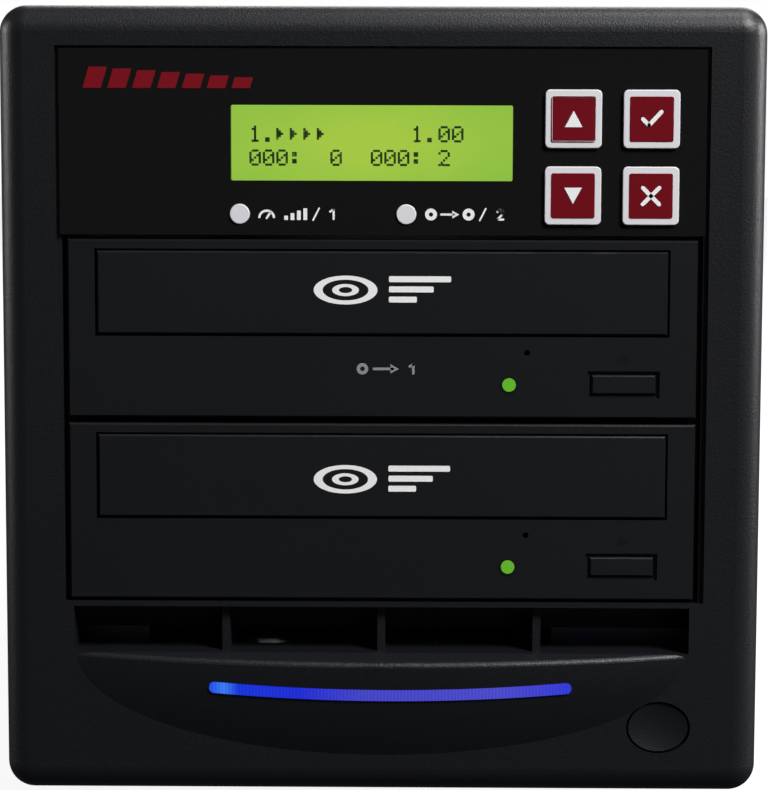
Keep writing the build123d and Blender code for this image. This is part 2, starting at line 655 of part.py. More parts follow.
def make_loader_frame():
    """Moulded frame: floor, side walls with tray ledges, bridge, gear post and deck pivots."""
    floor_top = FRAME_FLOOR + FRAME_FLOOR_T
    y = (FRAME_FRONT, FRAME_BACK)
    frame = centred(2 * FRAME_HALF_W, y, (FRAME_FLOOR, floor_top))
    window_y = (DECK_FRONT - WINDOW_FRONT, DECK_BACK + WINDOW_BACK)
    window = centred(2 * (DECK_HALF_W + WINDOW_SIDE), window_y, (FRAME_FLOOR, floor_top))
    frame -= window
    inner = FRAME_HALF_W - FRAME_WALL
    wall = block((inner, FRAME_HALF_W), y, (FRAME_FLOOR, FRAME_TOP))
    ledge_in = TRAY_W / 2 - LEDGE_GRIP
    ledge = block((ledge_in, FRAME_HALF_W), y, (TRAY_LOW - SLIP_GAP - FRAME_WALL, TRAY_LOW - SLIP_GAP))
    lip_y = (DISC_Y - BRIDGE_HALF_L, DISC_Y + BRIDGE_HALF_L)
    lip_low = TRAY_HIGH + SLIP_GAP
    lip = block((ledge_in + LIP_INSET, FRAME_HALF_W), lip_y, (lip_low, lip_low + FRAME_WALL))
    frame += mirrored(wall + ledge + lip)
    bridge = centred(2 * FRAME_HALF_W, lip_y, (FRAME_TOP - BRIDGE_T, FRAME_TOP))
    frame += bridge
    frame -= rod_z(CLAMP_NECK_R + SLIP_GAP, 0, DISC_Y, (FRAME_TOP - BRIDGE_T, FRAME_TOP))
    post_top = GEAR_LOW + GEAR_T
    frame += rod_z(GEAR_POST_R, GEAR_X, GEAR_Y, (FRAME_FLOOR, post_top))
    frame += rod_z(2 * GEAR_POST_R, GEAR_X, GEAR_Y, (FRAME_FLOOR, GEAR_LOW - SLIP_GAP))
    pivot_z = DECK_Z + DECK_T / 2
    block_x = (DECK_HALF_W + PIVOT_GAP, DECK_HALF_W + PIVOT_GAP + PIVOT_BLOCK)
    block_y = (PIVOT_Y - PIVOT_BLOCK, PIVOT_Y + PIVOT_BLOCK)
    ear = block(block_x, block_y, (FRAME_FLOOR, pivot_z + PIVOT_BLOCK))
    frame += mirrored(ear)
    frame -= mirrored(rod_x(PIVOT_R + RUN_FIT, (block_x[0], block_x[1]), PIVOT_Y, pivot_z))
    board_clear = centred(BOARD_STRIP_W + 2, (FRAME_FRONT, DRIVE_BOARD_FRONT + BOARD_T + 1),
                          (floor_top, LED_Z + 4 * LED_R), (LED_X + EJECT_X) / 2)
    frame -= board_clear
    return frame


def make_tray_door():
    """Door strip on the front of the tray."""
    door = centred(DOOR_W, (-DOOR_PROUD, -DOOR_PROUD + DOOR_T), (DOOR_LOW, DOOR_HIGH))
    return chamfer(door.faces().sort_by(Axis.Y)[0].edges(), DRIVE_SHEET / 2)


def rack_outline():
    """Toothed edge of the rack in plan, its teeth towards the loading gear."""
    pitch = pi * GEAR_MODULE
    flank = tan(radians(PRESSURE_ANGLE))
    back = RACK_LINE_X + TOOTH_IN + RACK_WIDTH
    root, tip = RACK_LINE_X + TOOTH_IN, RACK_LINE_X - TOOTH_OUT
    points = [(back, RACK_FRONT), (root, RACK_FRONT)]
    first = round((RACK_FRONT - GEAR_Y) / pitch) + 1
    last = int((TRAY_BACK - GEAR_Y) / pitch) - 1
    for number in range(first, last + 1):
        middle = GEAR_Y + number * pitch
        wide = TOOTH_HALF + TOOTH_IN * flank
        narrow = TOOTH_HALF - TOOTH_OUT * flank
        points += [(root, middle - wide), (tip, middle - narrow)]
        points += [(tip, middle + narrow), (root, middle + wide)]
    points += [(root, TRAY_BACK), (back, TRAY_BACK)]
    return Polygon(*points, align=None)


def gear_outline():
    """Loading gear in plan about its own axis, with a gap between teeth towards +X."""
    flank = tan(radians(PRESSURE_ANGLE))
    tooth = Polygon((PITCH_R - TOOTH_IN, -TOOTH_HALF - TOOTH_IN * flank),
                    (PITCH_R + TOOTH_OUT, -TOOTH_HALF + TOOTH_OUT * flank),
                    (PITCH_R + TOOTH_OUT, TOOTH_HALF - TOOTH_OUT * flank),
                    (PITCH_R - TOOTH_IN, TOOTH_HALF + TOOTH_IN * flank), align=None)
    outline = Circle(PITCH_R - TOOTH_IN + ROOT_OVERLAP)
    for number in range(GEAR_TEETH):
        outline += Rot(0, 0, (number + 0.5) * 360 / GEAR_TEETH) * tooth
    return outline


def make_loading_gear():
    """Gear on the frame's post that drives the tray."""
    gear = extrude(Pos(GEAR_X, GEAR_Y, GEAR_LOW) * gear_outline(), GEAR_T, dir=(0, 0, 1))
    return gear - rod_z(GEAR_POST_R + RUN_FIT, GEAR_X, GEAR_Y, (GEAR_LOW, GEAR_LOW + GEAR_T))


def make_tray():
    """Disc tray: stepped pocket, window for hub and pickup, and a rack along its underside."""
    front = -DOOR_PROUD + DOOR_T
    tray = centred(TRAY_W, (front, TRAY_BACK), (TRAY_LOW, TRAY_HIGH))
    pocket_floor = TRAY_HIGH - POCKET_DEPTH
    tray -= rod_z(POCKET_R, 0, DISC_Y, (pocket_floor, TRAY_HIGH))
    tray -= rod_z(SMALL_POCKET_R, 0, DISC_Y, (pocket_floor - SMALL_POCKET_DEPTH, TRAY_HIGH))
    tray -= rod_z(HUB_WINDOW_R, 0, DISC_Y, (TRAY_LOW, TRAY_HIGH))
    tray -= centred(2 * HUB_WINDOW_R, (DISC_Y, TRAY_BACK), (TRAY_LOW, TRAY_HIGH))
    rack = extrude(Pos(0, 0, GEAR_LOW) * rack_outline(), TRAY_LOW - GEAR_LOW, dir=(0, 0, 1))
    return tray + rack


def make_deck():
    """Lifting deck with pivot pins, cam pin, motor boss and end posts, and its two guide rods."""
    top = DECK_Z + DECK_T
    deck = centred(2 * DECK_HALF_W, (DECK_FRONT, DECK_BACK), (DECK_Z, top))
    slot_y = (SLED_FRONT - 2, SLED_FRONT + SLED_TRAVEL + SLED_L + 2)
    deck -= centred(2 * SLED_HALF_W, slot_y, (DECK_Z, top))
    pivot_z = DECK_Z + DECK_T / 2
    pin_end = DECK_HALF_W + PIVOT_GAP + PIVOT_BLOCK
    for side in (-1, 1):
        span = sorted((side * (DECK_HALF_W - PIVOT_BLOCK), side * pin_end))
        deck += rod_x(PIVOT_R, span, PIVOT_Y, pivot_z)
    deck += rod_y(LIFT_PIN_R, LIFT_PIN_X, (CAM_FRONT - SLIP_GAP, DECK_FRONT + PIVOT_BLOCK), pivot_z)
    deck += rod_z(ROTOR_R - 2, 0, DISC_Y, (DECK_Z, ROTOR_LOW - SLIP_GAP))
    deck -= rod_z(SPINDLE_R + RUN_FIT, 0, DISC_Y, (DECK_Z, ROTOR_LOW - SLIP_GAP))
    post_top = GUIDE_Z + GUIDE_R + 1
    for post_y in (GUIDE_FRONT, GUIDE_BACK):
        y = (post_y - GUIDE_POST / 2, post_y + GUIDE_POST / 2)
        deck += block((-GUIDE_X - GUIDE_POST, -GUIDE_X + GUIDE_POST), y, (DECK_Z, post_top))
        deck += block((GUIDE_X - GUIDE_POST, SCREW_X + GUIDE_POST), y, (DECK_Z, post_top))
        deck -= rod_y(SCREW_R + RUN_FIT, SCREW_X, y, GUIDE_Z)
        deck -= rod_y(GUIDE_R, -GUIDE_X, y, GUIDE_Z)
        deck -= rod_y(GUIDE_R, GUIDE_X, y, GUIDE_Z)
    return deck


def guide_rods():
    """The pickup's two steel guide rods, held in the deck's posts."""
    y = (GUIDE_FRONT - GUIDE_POST / 2, GUIDE_BACK + GUIDE_POST / 2)
    return [rod_y(GUIDE_R, side * GUIDE_X, y, GUIDE_Z) for side in (-1, 1)]


def make_turntable():
    """Spindle motor's rotor with the disc platter and centring hub."""
    shaft = rod_z(SPINDLE_R, 0, DISC_Y, (DECK_Z + SLIP_GAP, PLATTER_LOW))
    can = rod_z(ROTOR_R, 0, DISC_Y, (ROTOR_LOW, PLATTER_LOW))
    platter = rod_z(PLATTER_R, 0, DISC_Y, (PLATTER_LOW, PLATTER_TOP))
    hub = Pos(0, DISC_Y, PLATTER_TOP + HUB_H / 2) * Cone(HUB_R, HUB_R - 2, HUB_H)
    return shaft + can + platter + hub


def make_pickup():
    """Optical pickup: sled on the guide rods with its lens, and an arm to the lead screw."""
    y = (SLED_FRONT, SLED_FRONT + SLED_L)
    sled = centred(2 * SLED_HALF_W, y, (SLED_LOW, SLED_TOP))
    ear_y = (SLED_FRONT + SLED_L / 4, SLED_FRONT + 3 * SLED_L / 4)
    ear_z = (GUIDE_Z - GUIDE_R - 1, GUIDE_Z + GUIDE_R + 1)
    sled += block((-GUIDE_X - 2 * GUIDE_R, -SLED_HALF_W), ear_y, ear_z)
    sled += block((SLED_HALF_W, SCREW_X + 2 * SCREW_R), ear_y, ear_z)
    sled += rod_z(LENS_R, 0, SLED_FRONT + SLED_L / 3, (SLED_TOP, LENS_TOP))
    for x in (-GUIDE_X, GUIDE_X):
        sled -= rod_y(GUIDE_R + RUN_FIT, x, y, GUIDE_Z)
    return sled - rod_y(SCREW_R + RUN_FIT, SCREW_X, y, GUIDE_Z)


def make_lead_screw():
    """Lead screw beside the right guide rod, with its drive wheel behind the rear post."""
    y = (GUIDE_FRONT - GUIDE_POST / 2, GUIDE_BACK + GUIDE_POST / 2 + SLIP_GAP)
    wheel = rod_y(GUIDE_POST, SCREW_X, (y[1], DECK_BACK - WHEEL_SETBACK), GUIDE_Z)
    return rod_y(SCREW_R, SCREW_X, y, GUIDE_Z) + wheel


def make_cam_slider():
    """Cam plate: its slanted slot lifts and lowers the deck's pin as it slides sideways."""
    pin_z = DECK_Z + DECK_T / 2
    y = (CAM_FRONT, CAM_FRONT + CAM_T)
    low = FRAME_FLOOR + FRAME_FLOOR_T + SLIP_GAP
    x = (LIFT_PIN_X - CAM_EDGE, LIFT_PIN_X + CAM_TRAVEL + CAM_EDGE)
    plate = block(x, y, (low, pin_z + LIFT_PIN_R + SLIP_GAP + CAM_TOP_EDGE))
    run = (CAM_TRAVEL**2 + LIFT_DROP**2) ** 0.5
    slope = degrees(asin(LIFT_DROP / run))
    slot = SlotCenterToCenter(run, 2 * (LIFT_PIN_R + CAM_GAP))
    place = Pos(LIFT_PIN_X + CAM_TRAVEL / 2, pin_z - LIFT_DROP / 2) * Rot(0, 0, -slope)
    return plate - front_plate(place * slot, y)


def make_clamper():
    """Disc clamp hanging in the frame's bridge over the hub."""
    under = TRAY_HIGH + SLIP_GAP + CLAMP_RISE
    clamp = rod_z(CLAMP_R, 0, DISC_Y, (under, FRAME_TOP - BRIDGE_T - SLIP_GAP))
    clamp += rod_z(CLAMP_NECK_R, 0, DISC_Y, (under, FRAME_TOP + BRIDGE_T))
    return clamp + rod_z(CLAMP_TOP_R, 0, DISC_Y, (FRAME_TOP, FRAME_TOP + BRIDGE_T))


def drive_place(lower_edge):
    """Moves a drive piece from the drive's own heights and depths into its bay."""
    return Pos(0, DRIVE_Y, lower_edge)


# ---- case ---------------------------------------------------------------------------------
FLOOR_FLANGE_H = 12.0
CAGE_L = 150.0
CAGE_FLANGE = 9.0
AIR_HOLE_W = 100.0
AIR_HOLE_X = -8.0
AIR_HOLE_H = 24.0
AIR_HOLE_Z = 8.0          # above the case floor
LIP_W = 10.0
SIDE_SLOT_COUNT = 10
SIDE_SLOT_PITCH = 8.0
SIDE_SLOT_W = 3.0
SIDE_SLOT_L = 46.0
SIDE_SLOT_Y = 60.0        # first slot, in front of the case's rear edge
SIDE_SLOT_Z = 128.0
SCREW_HOLE_R = 1.8
SCREW_HEAD_R = 3.2
SCREW_HEAD_T = 2.0
THUMB_R = 5.0
THUMB_ABOVE_PSU = 12.0
THUMB_BELOW_TOP = 36.0
LIP_NOTCH_GAP = 1.0       # round a power supply screw's head, where a lip reaches it
# power supply
PSU_W = 150.0
PSU_H = 86.0
PSU_L = 140.0
PSU_SHEET = 0.8
PSU_OPENING_EDGE = 3.4
PSU_OPENING_CORNER = 8.0
PSU_SCREW_EDGE = 5.5
PSU_FAN_X = -24.0
PSU_SLOT_COUNT = 9
PSU_SLOT_PITCH = 12.0
PSU_SLOT_W = 5.0
PSU_SLOT_L = 60.0
# fans
FAN_W = 80.0
FAN_T = 25.0
FAN_BORE_R = 38.0
FAN_HUB_R = 16.0
FAN_HUB_L = 17.0
FAN_SCREW_HALF = 35.75
FAN_CORNER_R = 4.0
FAN_PLATE_T = 4.0
FAN_STRUT_W = 4.0
FAN_STRUTS = 4
FAN_BLADES = 7
FAN_BLADE_T = 1.4
FAN_BLADE_ANGLE = 38.0
FAN_BLADE_FILL = 0.75     # share of the hub's length a blade covers
FAN_SHAFT_R = 1.5
FAN_X = 0.0
GUARD_WIRE_R = 0.75
GUARD_RINGS = (9.0, 16.5, 24.0, 31.5, 38.5)
# mains inlet with its rocker
INLET_X = 50.0
INLET_Z = 43.0            # module's middle above the case floor
INLET_W = 27.0
INLET_H = 46.0
INLET_FLANGE = 2.0
INLET_FLANGE_T = 2.0
INLET_L = 24.0
SOCKET_W = 23.6
SOCKET_H = 16.2
SOCKET_DEPTH = 18.0
SOCKET_DROP = 11.5        # socket's middle below the module's middle
BLADE_W = 2.0
BLADE_H = 4.0
BLADE_L = 12.0
BLADE_PITCH = 7.0
ROCKER_R = 6.6
ROCKER_W = 17.0
ROCKER_RISE = 12.5        # rocker's middle above the module's middle
ROCKER_SINK = 3.6         # its pin behind the flange's front
ROCKER_PIN_R = 1.2
ROCKER_PIN_L = 2.0
ROCKER_TILT = 8.0
ROCKER_DIP = 2.4

INNER_W = CASE_W - 2 * SHEET
FLOOR_TOP = CASE_Z + SHEET
REAR_INNER_Y = CASE_BACK_Y - SHEET
PSU_Y = (REAR_INNER_Y - PSU_L, REAR_INNER_Y)
PSU_TOP = FLOOR_TOP + PSU_H
PSU_MIDDLE_Z = FLOOR_TOP + PSU_H / 2
FAN_Z = (PSU_TOP + CASE_TOP - SHEET) / 2
INLET_MIDDLE_Z = FLOOR_TOP + INLET_Z
ROCKER_Y = CASE_BACK_Y + INLET_FLANGE_T - SHEET - ROCKER_SINK
ROCKER_Z = INLET_MIDDLE_Z + ROCKER_RISE


def corner_places(half_x, half_z, x, z):
    """Four places in a rectangle about (x, z)."""
    return [(x + side * half_x, z + rise * half_z) for side in (-1, 1) for rise in (-1, 1)]


def fan_screw_places():
    """Screws of the case fan, as (x, z)."""
    return corner_places(FAN_SCREW_HALF, FAN_SCREW_HALF, FAN_X, FAN_Z)


def psu_screw_places():
    """Screws that hold the power supply to the rear panel, as (x, z)."""
    return corner_places(PSU_W / 2 - PSU_SCREW_EDGE, PSU_H / 2 - PSU_SCREW_EDGE, 0, PSU_MIDDLE_Z)


def thumb_places():
    """Thumbscrews through the cover's rear lips, as (x, z)."""
    heights = (PSU_TOP + THUMB_ABOVE_PSU, CASE_TOP - THUMB_BELOW_TOP)
    return [(side * (INNER_W - LIP_W) / 2, height) for side in (-1, 1) for height in heights]


def make_chassis():
    """Folded steel chassis: floor with side flanges, front plate and rear panel."""
    y = (BEZEL_BACK_Y, CASE_BACK_Y)
    top = CASE_TOP - SHEET
    chassis = centred(INNER_W, y, (CASE_Z, CASE_Z + FLOOR_FLANGE_H))
    chassis -= centred(INNER_W - 2 * SHEET, y, (FLOOR_TOP, CASE_Z + FLOOR_FLANGE_H))
    front = centred(INNER_W, (y[0], y[0] + SHEET), (CASE_Z, top))
    front -= centred(BAY_W, (y[0], y[0] + SHEET), (BAY_Z, BAY_Z + BAY_H))
    air_z = (FLOOR_TOP + AIR_HOLE_Z, FLOOR_TOP + AIR_HOLE_Z + AIR_HOLE_H)
    front -= centred(AIR_HOLE_W, (y[0], y[0] + SHEET), air_z, AIR_HOLE_X)
    rear_y = (y[1] - SHEET, y[1])
    rear = centred(INNER_W, rear_y, (CASE_Z, top))
    opening = Rectangle(PSU_W - 2 * PSU_OPENING_EDGE, PSU_H - 2 * PSU_OPENING_EDGE)
    opening = chamfer(opening.vertices(), PSU_OPENING_CORNER)
    rear -= front_plate(Pos(0, PSU_MIDDLE_Z) * opening, rear_y)
    rear -= rod_y(FAN_BORE_R, FAN_X, rear_y, FAN_Z)
    for x, z in [*fan_screw_places(), *psu_screw_places(), *thumb_places()]:
        rear -= rod_y(SCREW_HOLE_R, x, rear_y, z)
    return chassis + front + rear


def make_cover():
    """Steel cover: top and both sides in one, with side air slots and rear lips."""
    y = (BEZEL_BACK_Y, CASE_BACK_Y)
    cover = centred(CASE_W, y, (CASE_Z, CASE_TOP))
    cover = fillet(cover.edges().filter_by(Axis.Y).group_by(Axis.Z)[-1], 2 * SHEET)
    cover -= centred(INNER_W, y, (CASE_Z, CASE_TOP - SHEET))
    lip = block((INNER_W / 2 - LIP_W, CASE_W / 2), (y[1], y[1] + SHEET), (FLOOR_TOP, CASE_TOP - LIP_W))
    cover += mirrored(lip)
    for x, z in thumb_places():
        cover -= rod_y(SCREW_HOLE_R, x, (y[1], y[1] + SHEET), z)
    for x, z in psu_screw_places():
        cover -= rod_y(SCREW_HEAD_R + LIP_NOTCH_GAP, x, (y[1], y[1] + SHEET), z)
    for number in range(SIDE_SLOT_COUNT):
        slot_y = CASE_BACK_Y - SIDE_SLOT_Y - number * SIDE_SLOT_PITCH
        cover -= centred(CASE_W, (slot_y - SIDE_SLOT_W, slot_y), (SIDE_SLOT_Z - SIDE_SLOT_L / 2,
                                                                  SIDE_SLOT_Z + SIDE_SLOT_L / 2))
    return cover


def make_drive_cage():
    """Steel cage: two upright plates on floor flanges, a shelf under the drives and a top tie."""
    y = (BEZEL_BACK_Y + SHEET, BEZEL_BACK_Y + SHEET + CAGE_L)
    half = DRIVE_BODY_W / 2
    plate = block((half, half + SHEET), y, (FLOOR_TOP, CASE_TOP - SHEET))
    flange = block((half, half + CAGE_FLANGE), y, (FLOOR_TOP, FLOOR_TOP + SHEET))
    shelf_top = TARGET_Z + (DRIVE_H - DRIVE_BODY_H) / 2
    shelf = centred(DRIVE_BODY_W + SHEET, y, (shelf_top - SHEET, shelf_top))
    tie = centred(DRIVE_BODY_W + SHEET, y, (CASE_TOP - 2 * SHEET, CASE_TOP - SHEET))
    cage = mirrored(plate + flange) + shelf + tie
    for lower_edge in (TARGET_Z, SOURCE_Z):
        for screw_y in DRIVE_SCREW_Y:
            across = (-DRIVE_BODY_W, DRIVE_BODY_W)
            cage -= rod_x(DRIVE_SCREW_R, across, DRIVE_Y + screw_y, lower_edge + DRIVE_SCREW_Z)
    return cage


def make_feet():
    """Four round rubber feet under the chassis floor."""
    feet = []
    for x in (-CASE_W / 2 + FOOT_INSET_X, CASE_W / 2 - FOOT_INSET_X):
        for y in (BEZEL_BACK_Y + FOOT_INSET_Y, CASE_BACK_Y - FOOT_INSET_Y):
            foot = rod_z(FOOT_R, x, y, (0, FOOT_H))
            feet.append(chamfer(foot.faces().sort_by(Axis.Z)[0].edges(), SHEET))
    return feet


def rear_screw(x, z, y, head_t, head_r):
    """A screw from behind: head on the face at y, thread through the rear panel."""
    head = rod_y(head_r, x, (y, y + head_t), z)
    return head + rod_y(SCREW_HOLE_R - RUN_FIT, x, (REAR_INNER_Y - SHEET, y), z)


def side_screw(side, y, z):
    """A screw from the side through the cage into a drive."""
    face = DRIVE_BODY_W / 2 + SHEET
    head = rod_x(SCREW_HEAD_R, sorted((side * face, side * (face + SCREW_HEAD_T))), y, z)
    inner = DRIVE_BODY_W / 2 - 2 * DRIVE_SHEET
    return head + rod_x(DRIVE_SCREW_R - RUN_FIT, sorted((side * inner, side * face)), y, z)


def make_machine_screws():
    """All machine screws and thumbscrews of the case."""
    screws = [rear_screw(x, z, CASE_BACK_Y + SHEET, THUMB_HEAD, THUMB_R) for x, z in thumb_places()]
    screws += [rear_screw(x, z, CASE_BACK_Y, SCREW_HEAD_T, SCREW_HEAD_R) for x, z in psu_screw_places()]
    guard_face = CASE_BACK_Y + 2 * GUARD_WIRE_R
    screws += [rear_screw(x, z, guard_face, SCREW_HEAD_T, SCREW_HEAD_R) for x, z in fan_screw_places()]
    for lower_edge in (TARGET_Z, SOURCE_Z):
        for screw_y in DRIVE_SCREW_Y:
            place = (DRIVE_Y + screw_y, lower_edge + DRIVE_SCREW_Z)
            screws += [side_screw(side, *place) for side in (-1, 1)]
    return screws


# ---- power supply -------------------------------------------------------------------------
COMPONENTS = (  # (x, distance behind the box's front, width, depth, height) on the board
    (-48.0, 14.0, 8.0, 70.0, 52.0),
    (-14.0, 20.0, 34.0, 28.0, 34.0),
    (-14.0, 56.0, 26.0, 26.0, 30.0),
    (24.0, 14.0, 8.0, 70.0, 52.0),
    (52.0, 22.0, 26.0, 26.0, 36.0),
    (52.0, 56.0, 22.0, 22.0, 26.0),
)
PSU_BOARD_W = 140.0
PSU_BOARD_L = 96.0
PSU_BOARD_RISE = 5.0


def make_psu_case():
    """Power supply's steel box with its fan hole, inlet hole and front air slots."""
    z = (FLOOR_TOP, PSU_TOP)
    box = centred(PSU_W, PSU_Y, z)
    inner_y = (PSU_Y[0] + PSU_SHEET, PSU_Y[1] - PSU_SHEET)
    box -= centred(PSU_W - 2 * PSU_SHEET, inner_y, (z[0] + PSU_SHEET, z[1] - PSU_SHEET))
    back_y = (inner_y[1], PSU_Y[1])
    box -= rod_y(FAN_BORE_R, PSU_FAN_X, back_y, PSU_MIDDLE_Z)
    hole_z = (INLET_MIDDLE_Z - INLET_H / 2 - KEY_GAP, INLET_MIDDLE_Z + INLET_H / 2 + KEY_GAP)
    box -= centred(INLET_W + 2 * KEY_GAP, back_y, hole_z, INLET_X)
    for x, height in psu_screw_places():
        box -= rod_y(SCREW_HOLE_R, x, back_y, height)
    middle = (PSU_SLOT_COUNT - 1) / 2
    for number in range(PSU_SLOT_COUNT):
        x = (number - middle) * PSU_SLOT_PITCH
        box -= centred(PSU_SLOT_W, (PSU_Y[0], inner_y[0]), (PSU_MIDDLE_Z - PSU_SLOT_L / 2,
                                                            PSU_MIDDLE_Z + PSU_SLOT_L / 2 - PSU_SLOT_W), x)
    return box


def make_psu_board():
    """Power supply's board on its pillars, with heat sinks, transformers and capacitors."""
    low = FLOOR_TOP + PSU_SHEET
    y = PSU_Y[0] + PSU_SHEET + SLIP_GAP
    top = low + PSU_BOARD_RISE + BOARD_T
    board = centred(PSU_BOARD_W, (y, y + PSU_BOARD_L), (low + PSU_BOARD_RISE, top))
    for x in (-PSU_BOARD_W / 2 + PSU_BOARD_RISE, PSU_BOARD_W / 2 - PSU_BOARD_RISE):
        for pillar_y in (y + PSU_BOARD_RISE, y + PSU_BOARD_L - PSU_BOARD_RISE):
            board += rod_z(STANDOFF_R, x, pillar_y, (low, low + PSU_BOARD_RISE))
    for x, depth, width, length, height in COMPONENTS:
        board += centred(width, (y + depth, y + depth + length), (top, top + height), x)
    return board


def make_mains_inlet():
    """Mains inlet module: flange, body, socket with three blades, and the rocker's well."""
    flange_y = (PSU_Y[1], PSU_Y[1] + INLET_FLANGE_T)
    half_w, half_h = INLET_W / 2 + INLET_FLANGE, INLET_H / 2 + INLET_FLANGE
    z = INLET_MIDDLE_Z
    module = centred(2 * half_w, flange_y, (z - half_h, z + half_h), INLET_X)
    module += centred(INLET_W, (PSU_Y[1] - INLET_L, PSU_Y[1]), (z - INLET_H / 2, z + INLET_H / 2), INLET_X)
    front = flange_y[1]
    socket_z = z - SOCKET_DROP
    well = rounded(SOCKET_W, SOCKET_H, INLET_FLANGE, INLET_X, socket_z)
    module -= front_plate(well, (front - SOCKET_DEPTH, front))
    for number in (-1, 0, 1):
        x = INLET_X + number * BLADE_PITCH
        blade_z = socket_z + (BLADE_H / 2 if number == 0 else -BLADE_H / 2)
        module += centred(BLADE_W, (front - SOCKET_DEPTH, front - SOCKET_DEPTH + BLADE_L),
                          (blade_z - BLADE_H / 2, blade_z + BLADE_H / 2), x)
    well_r = ROCKER_R + SLIP_GAP
    well_w = ROCKER_W + 2 * SLIP_GAP
    span = (INLET_X - well_w / 2, INLET_X + well_w / 2)
    module -= rod_x(well_r, span, ROCKER_Y, ROCKER_Z)
    module -= block(span, (ROCKER_Y, front), (ROCKER_Z - well_r, ROCKER_Z + well_r))
    pin_reach = ROCKER_W / 2 + ROCKER_PIN_L + SLIP_GAP
    pin = (INLET_X - pin_reach, INLET_X + pin_reach)
    return module - rod_x(ROCKER_PIN_R + RUN_FIT, pin, ROCKER_Y, ROCKER_Z)


def make_mains_rocker():
    """Rocker: a round-backed key on two pins, with a shallow V in its face, tipped to one side."""
    span = (INLET_X - ROCKER_W / 2, INLET_X + ROCKER_W / 2)
    key = rod_x(ROCKER_R, span, 0, 0)
    face_y = ROCKER_R - ROCKER_DIP
    for side in (-1, 1):
        cut = block(span, (face_y - ROCKER_DIP, face_y + 2 * ROCKER_R), (-2 * ROCKER_R, 2 * ROCKER_R))
        cut = Pos(0, 0, 0) * Rot(side * ROCKER_TILT, 0, 0) * Pos(0, ROCKER_DIP, side * 2 * ROCKER_R) * cut
        key -= cut
    pins = (span[0] - ROCKER_PIN_L, span[1] + ROCKER_PIN_L)
    key += rod_x(ROCKER_PIN_R, pins, 0, 0)
    return Pos(0, ROCKER_Y, ROCKER_Z) * Rot(-ROCKER_TILT, 0, 0) * key


# ---- fans ---------------------------------------------------------------------------------
def fan_frame(x, z, back_y):
    """Square fan frame with a hub carried by struts at its rear, bored for the rotor's shaft."""
    y = (back_y - FAN_T, back_y)
    frame = front_plate(rounded(FAN_W, FAN_W, FAN_CORNER_R, x, z), y)
    frame -= rod_y(FAN_BORE_R, x, y, z)
    waist = (y[0] + FAN_PLATE_T, y[1] - FAN_PLATE_T)
    ring = front_plate(rounded(FAN_W, FAN_W, FAN_CORNER_R, x, z), waist)
    ring -= rod_y(FAN_W / 2 - SHEET / 2, x, waist, z)
    frame -= ring
    strut_y = (y[1] - FAN_PLATE_T, y[1] - FAN_PLATE_T / 2)
    hub = rod_y(FAN_HUB_R, x, (y[1] - FAN_PLATE_T, y[1] - FAN_PLATE_T / 2), z)
    hub += rod_y(2 * FAN_SHAFT_R, x, (y[1] - 2 * FAN_PLATE_T, y[1] - FAN_PLATE_T), z)
    for number in range(FAN_STRUTS):
        strut = block((0, FAN_BORE_R + FAN_TIP_GAP), (-FAN_PLATE_T / 4, FAN_PLATE_T / 4),
                      (-FAN_STRUT_W / 2, FAN_STRUT_W / 2))
        strut = Pos(x, sum(strut_y) / 2, z) * Rot(0, 45 + number * 360 / FAN_STRUTS, 0) * strut
        hub += strut
    frame += hub
    for hole_x, hole_z in corner_places(FAN_SCREW_HALF, FAN_SCREW_HALF, x, z):
        frame -= rod_y(SCREW_HOLE_R, hole_x, y, hole_z)
    return frame - rod_y(FAN_SHAFT_R + RUN_FIT, x, (y[1] - 2 * FAN_PLATE_T, y[1]), z)


def fan_rotor(x, z, back_y):
    """Fan rotor: cup-shaped hub on its shaft with pitched blades."""
    hub_back = back_y - FAN_PLATE_T - SLIP_GAP
    hub_y = (hub_back - FAN_HUB_L, hub_back)
    hub = rod_y(FAN_HUB_R, 0, hub_y, 0)
    hub = fillet(hub.faces().sort_by(Axis.Y)[0].edges(), SHEET)
    hub -= rod_y(FAN_HUB_R - 2 * SHEET, 0, (hub_y[0] + 2 * SHEET, hub_y[1]), 0)
    hub += rod_y(FAN_SHAFT_R, 0, (hub_y[0] + SHEET, back_y - FAN_PLATE_T / 2 - SLIP_GAP), 0)
    blade_r = FAN_BORE_R - FAN_TIP_GAP
    depth = FAN_HUB_L / cos(radians(FAN_BLADE_ANGLE)) * FAN_BLADE_FILL
    middle = (hub_y[0] + hub_y[1]) / 2
    sweep = rod_y(blade_r, 0, hub_y, 0) - rod_y(FAN_HUB_R - SHEET, 0, hub_y, 0)
    for number in range(FAN_BLADES):
        blade = block((0, blade_r + SHEET), (-depth / 2, depth / 2), (-FAN_BLADE_T / 2, FAN_BLADE_T / 2))
        pitched = Pos(0, middle, 0) * Rot(FAN_BLADE_ANGLE, 0, 0) * blade
        blade = Rot(0, number * 360 / FAN_BLADES, 0) * pitched
        hub += blade & sweep
    return Pos(x, 0, z) * hub


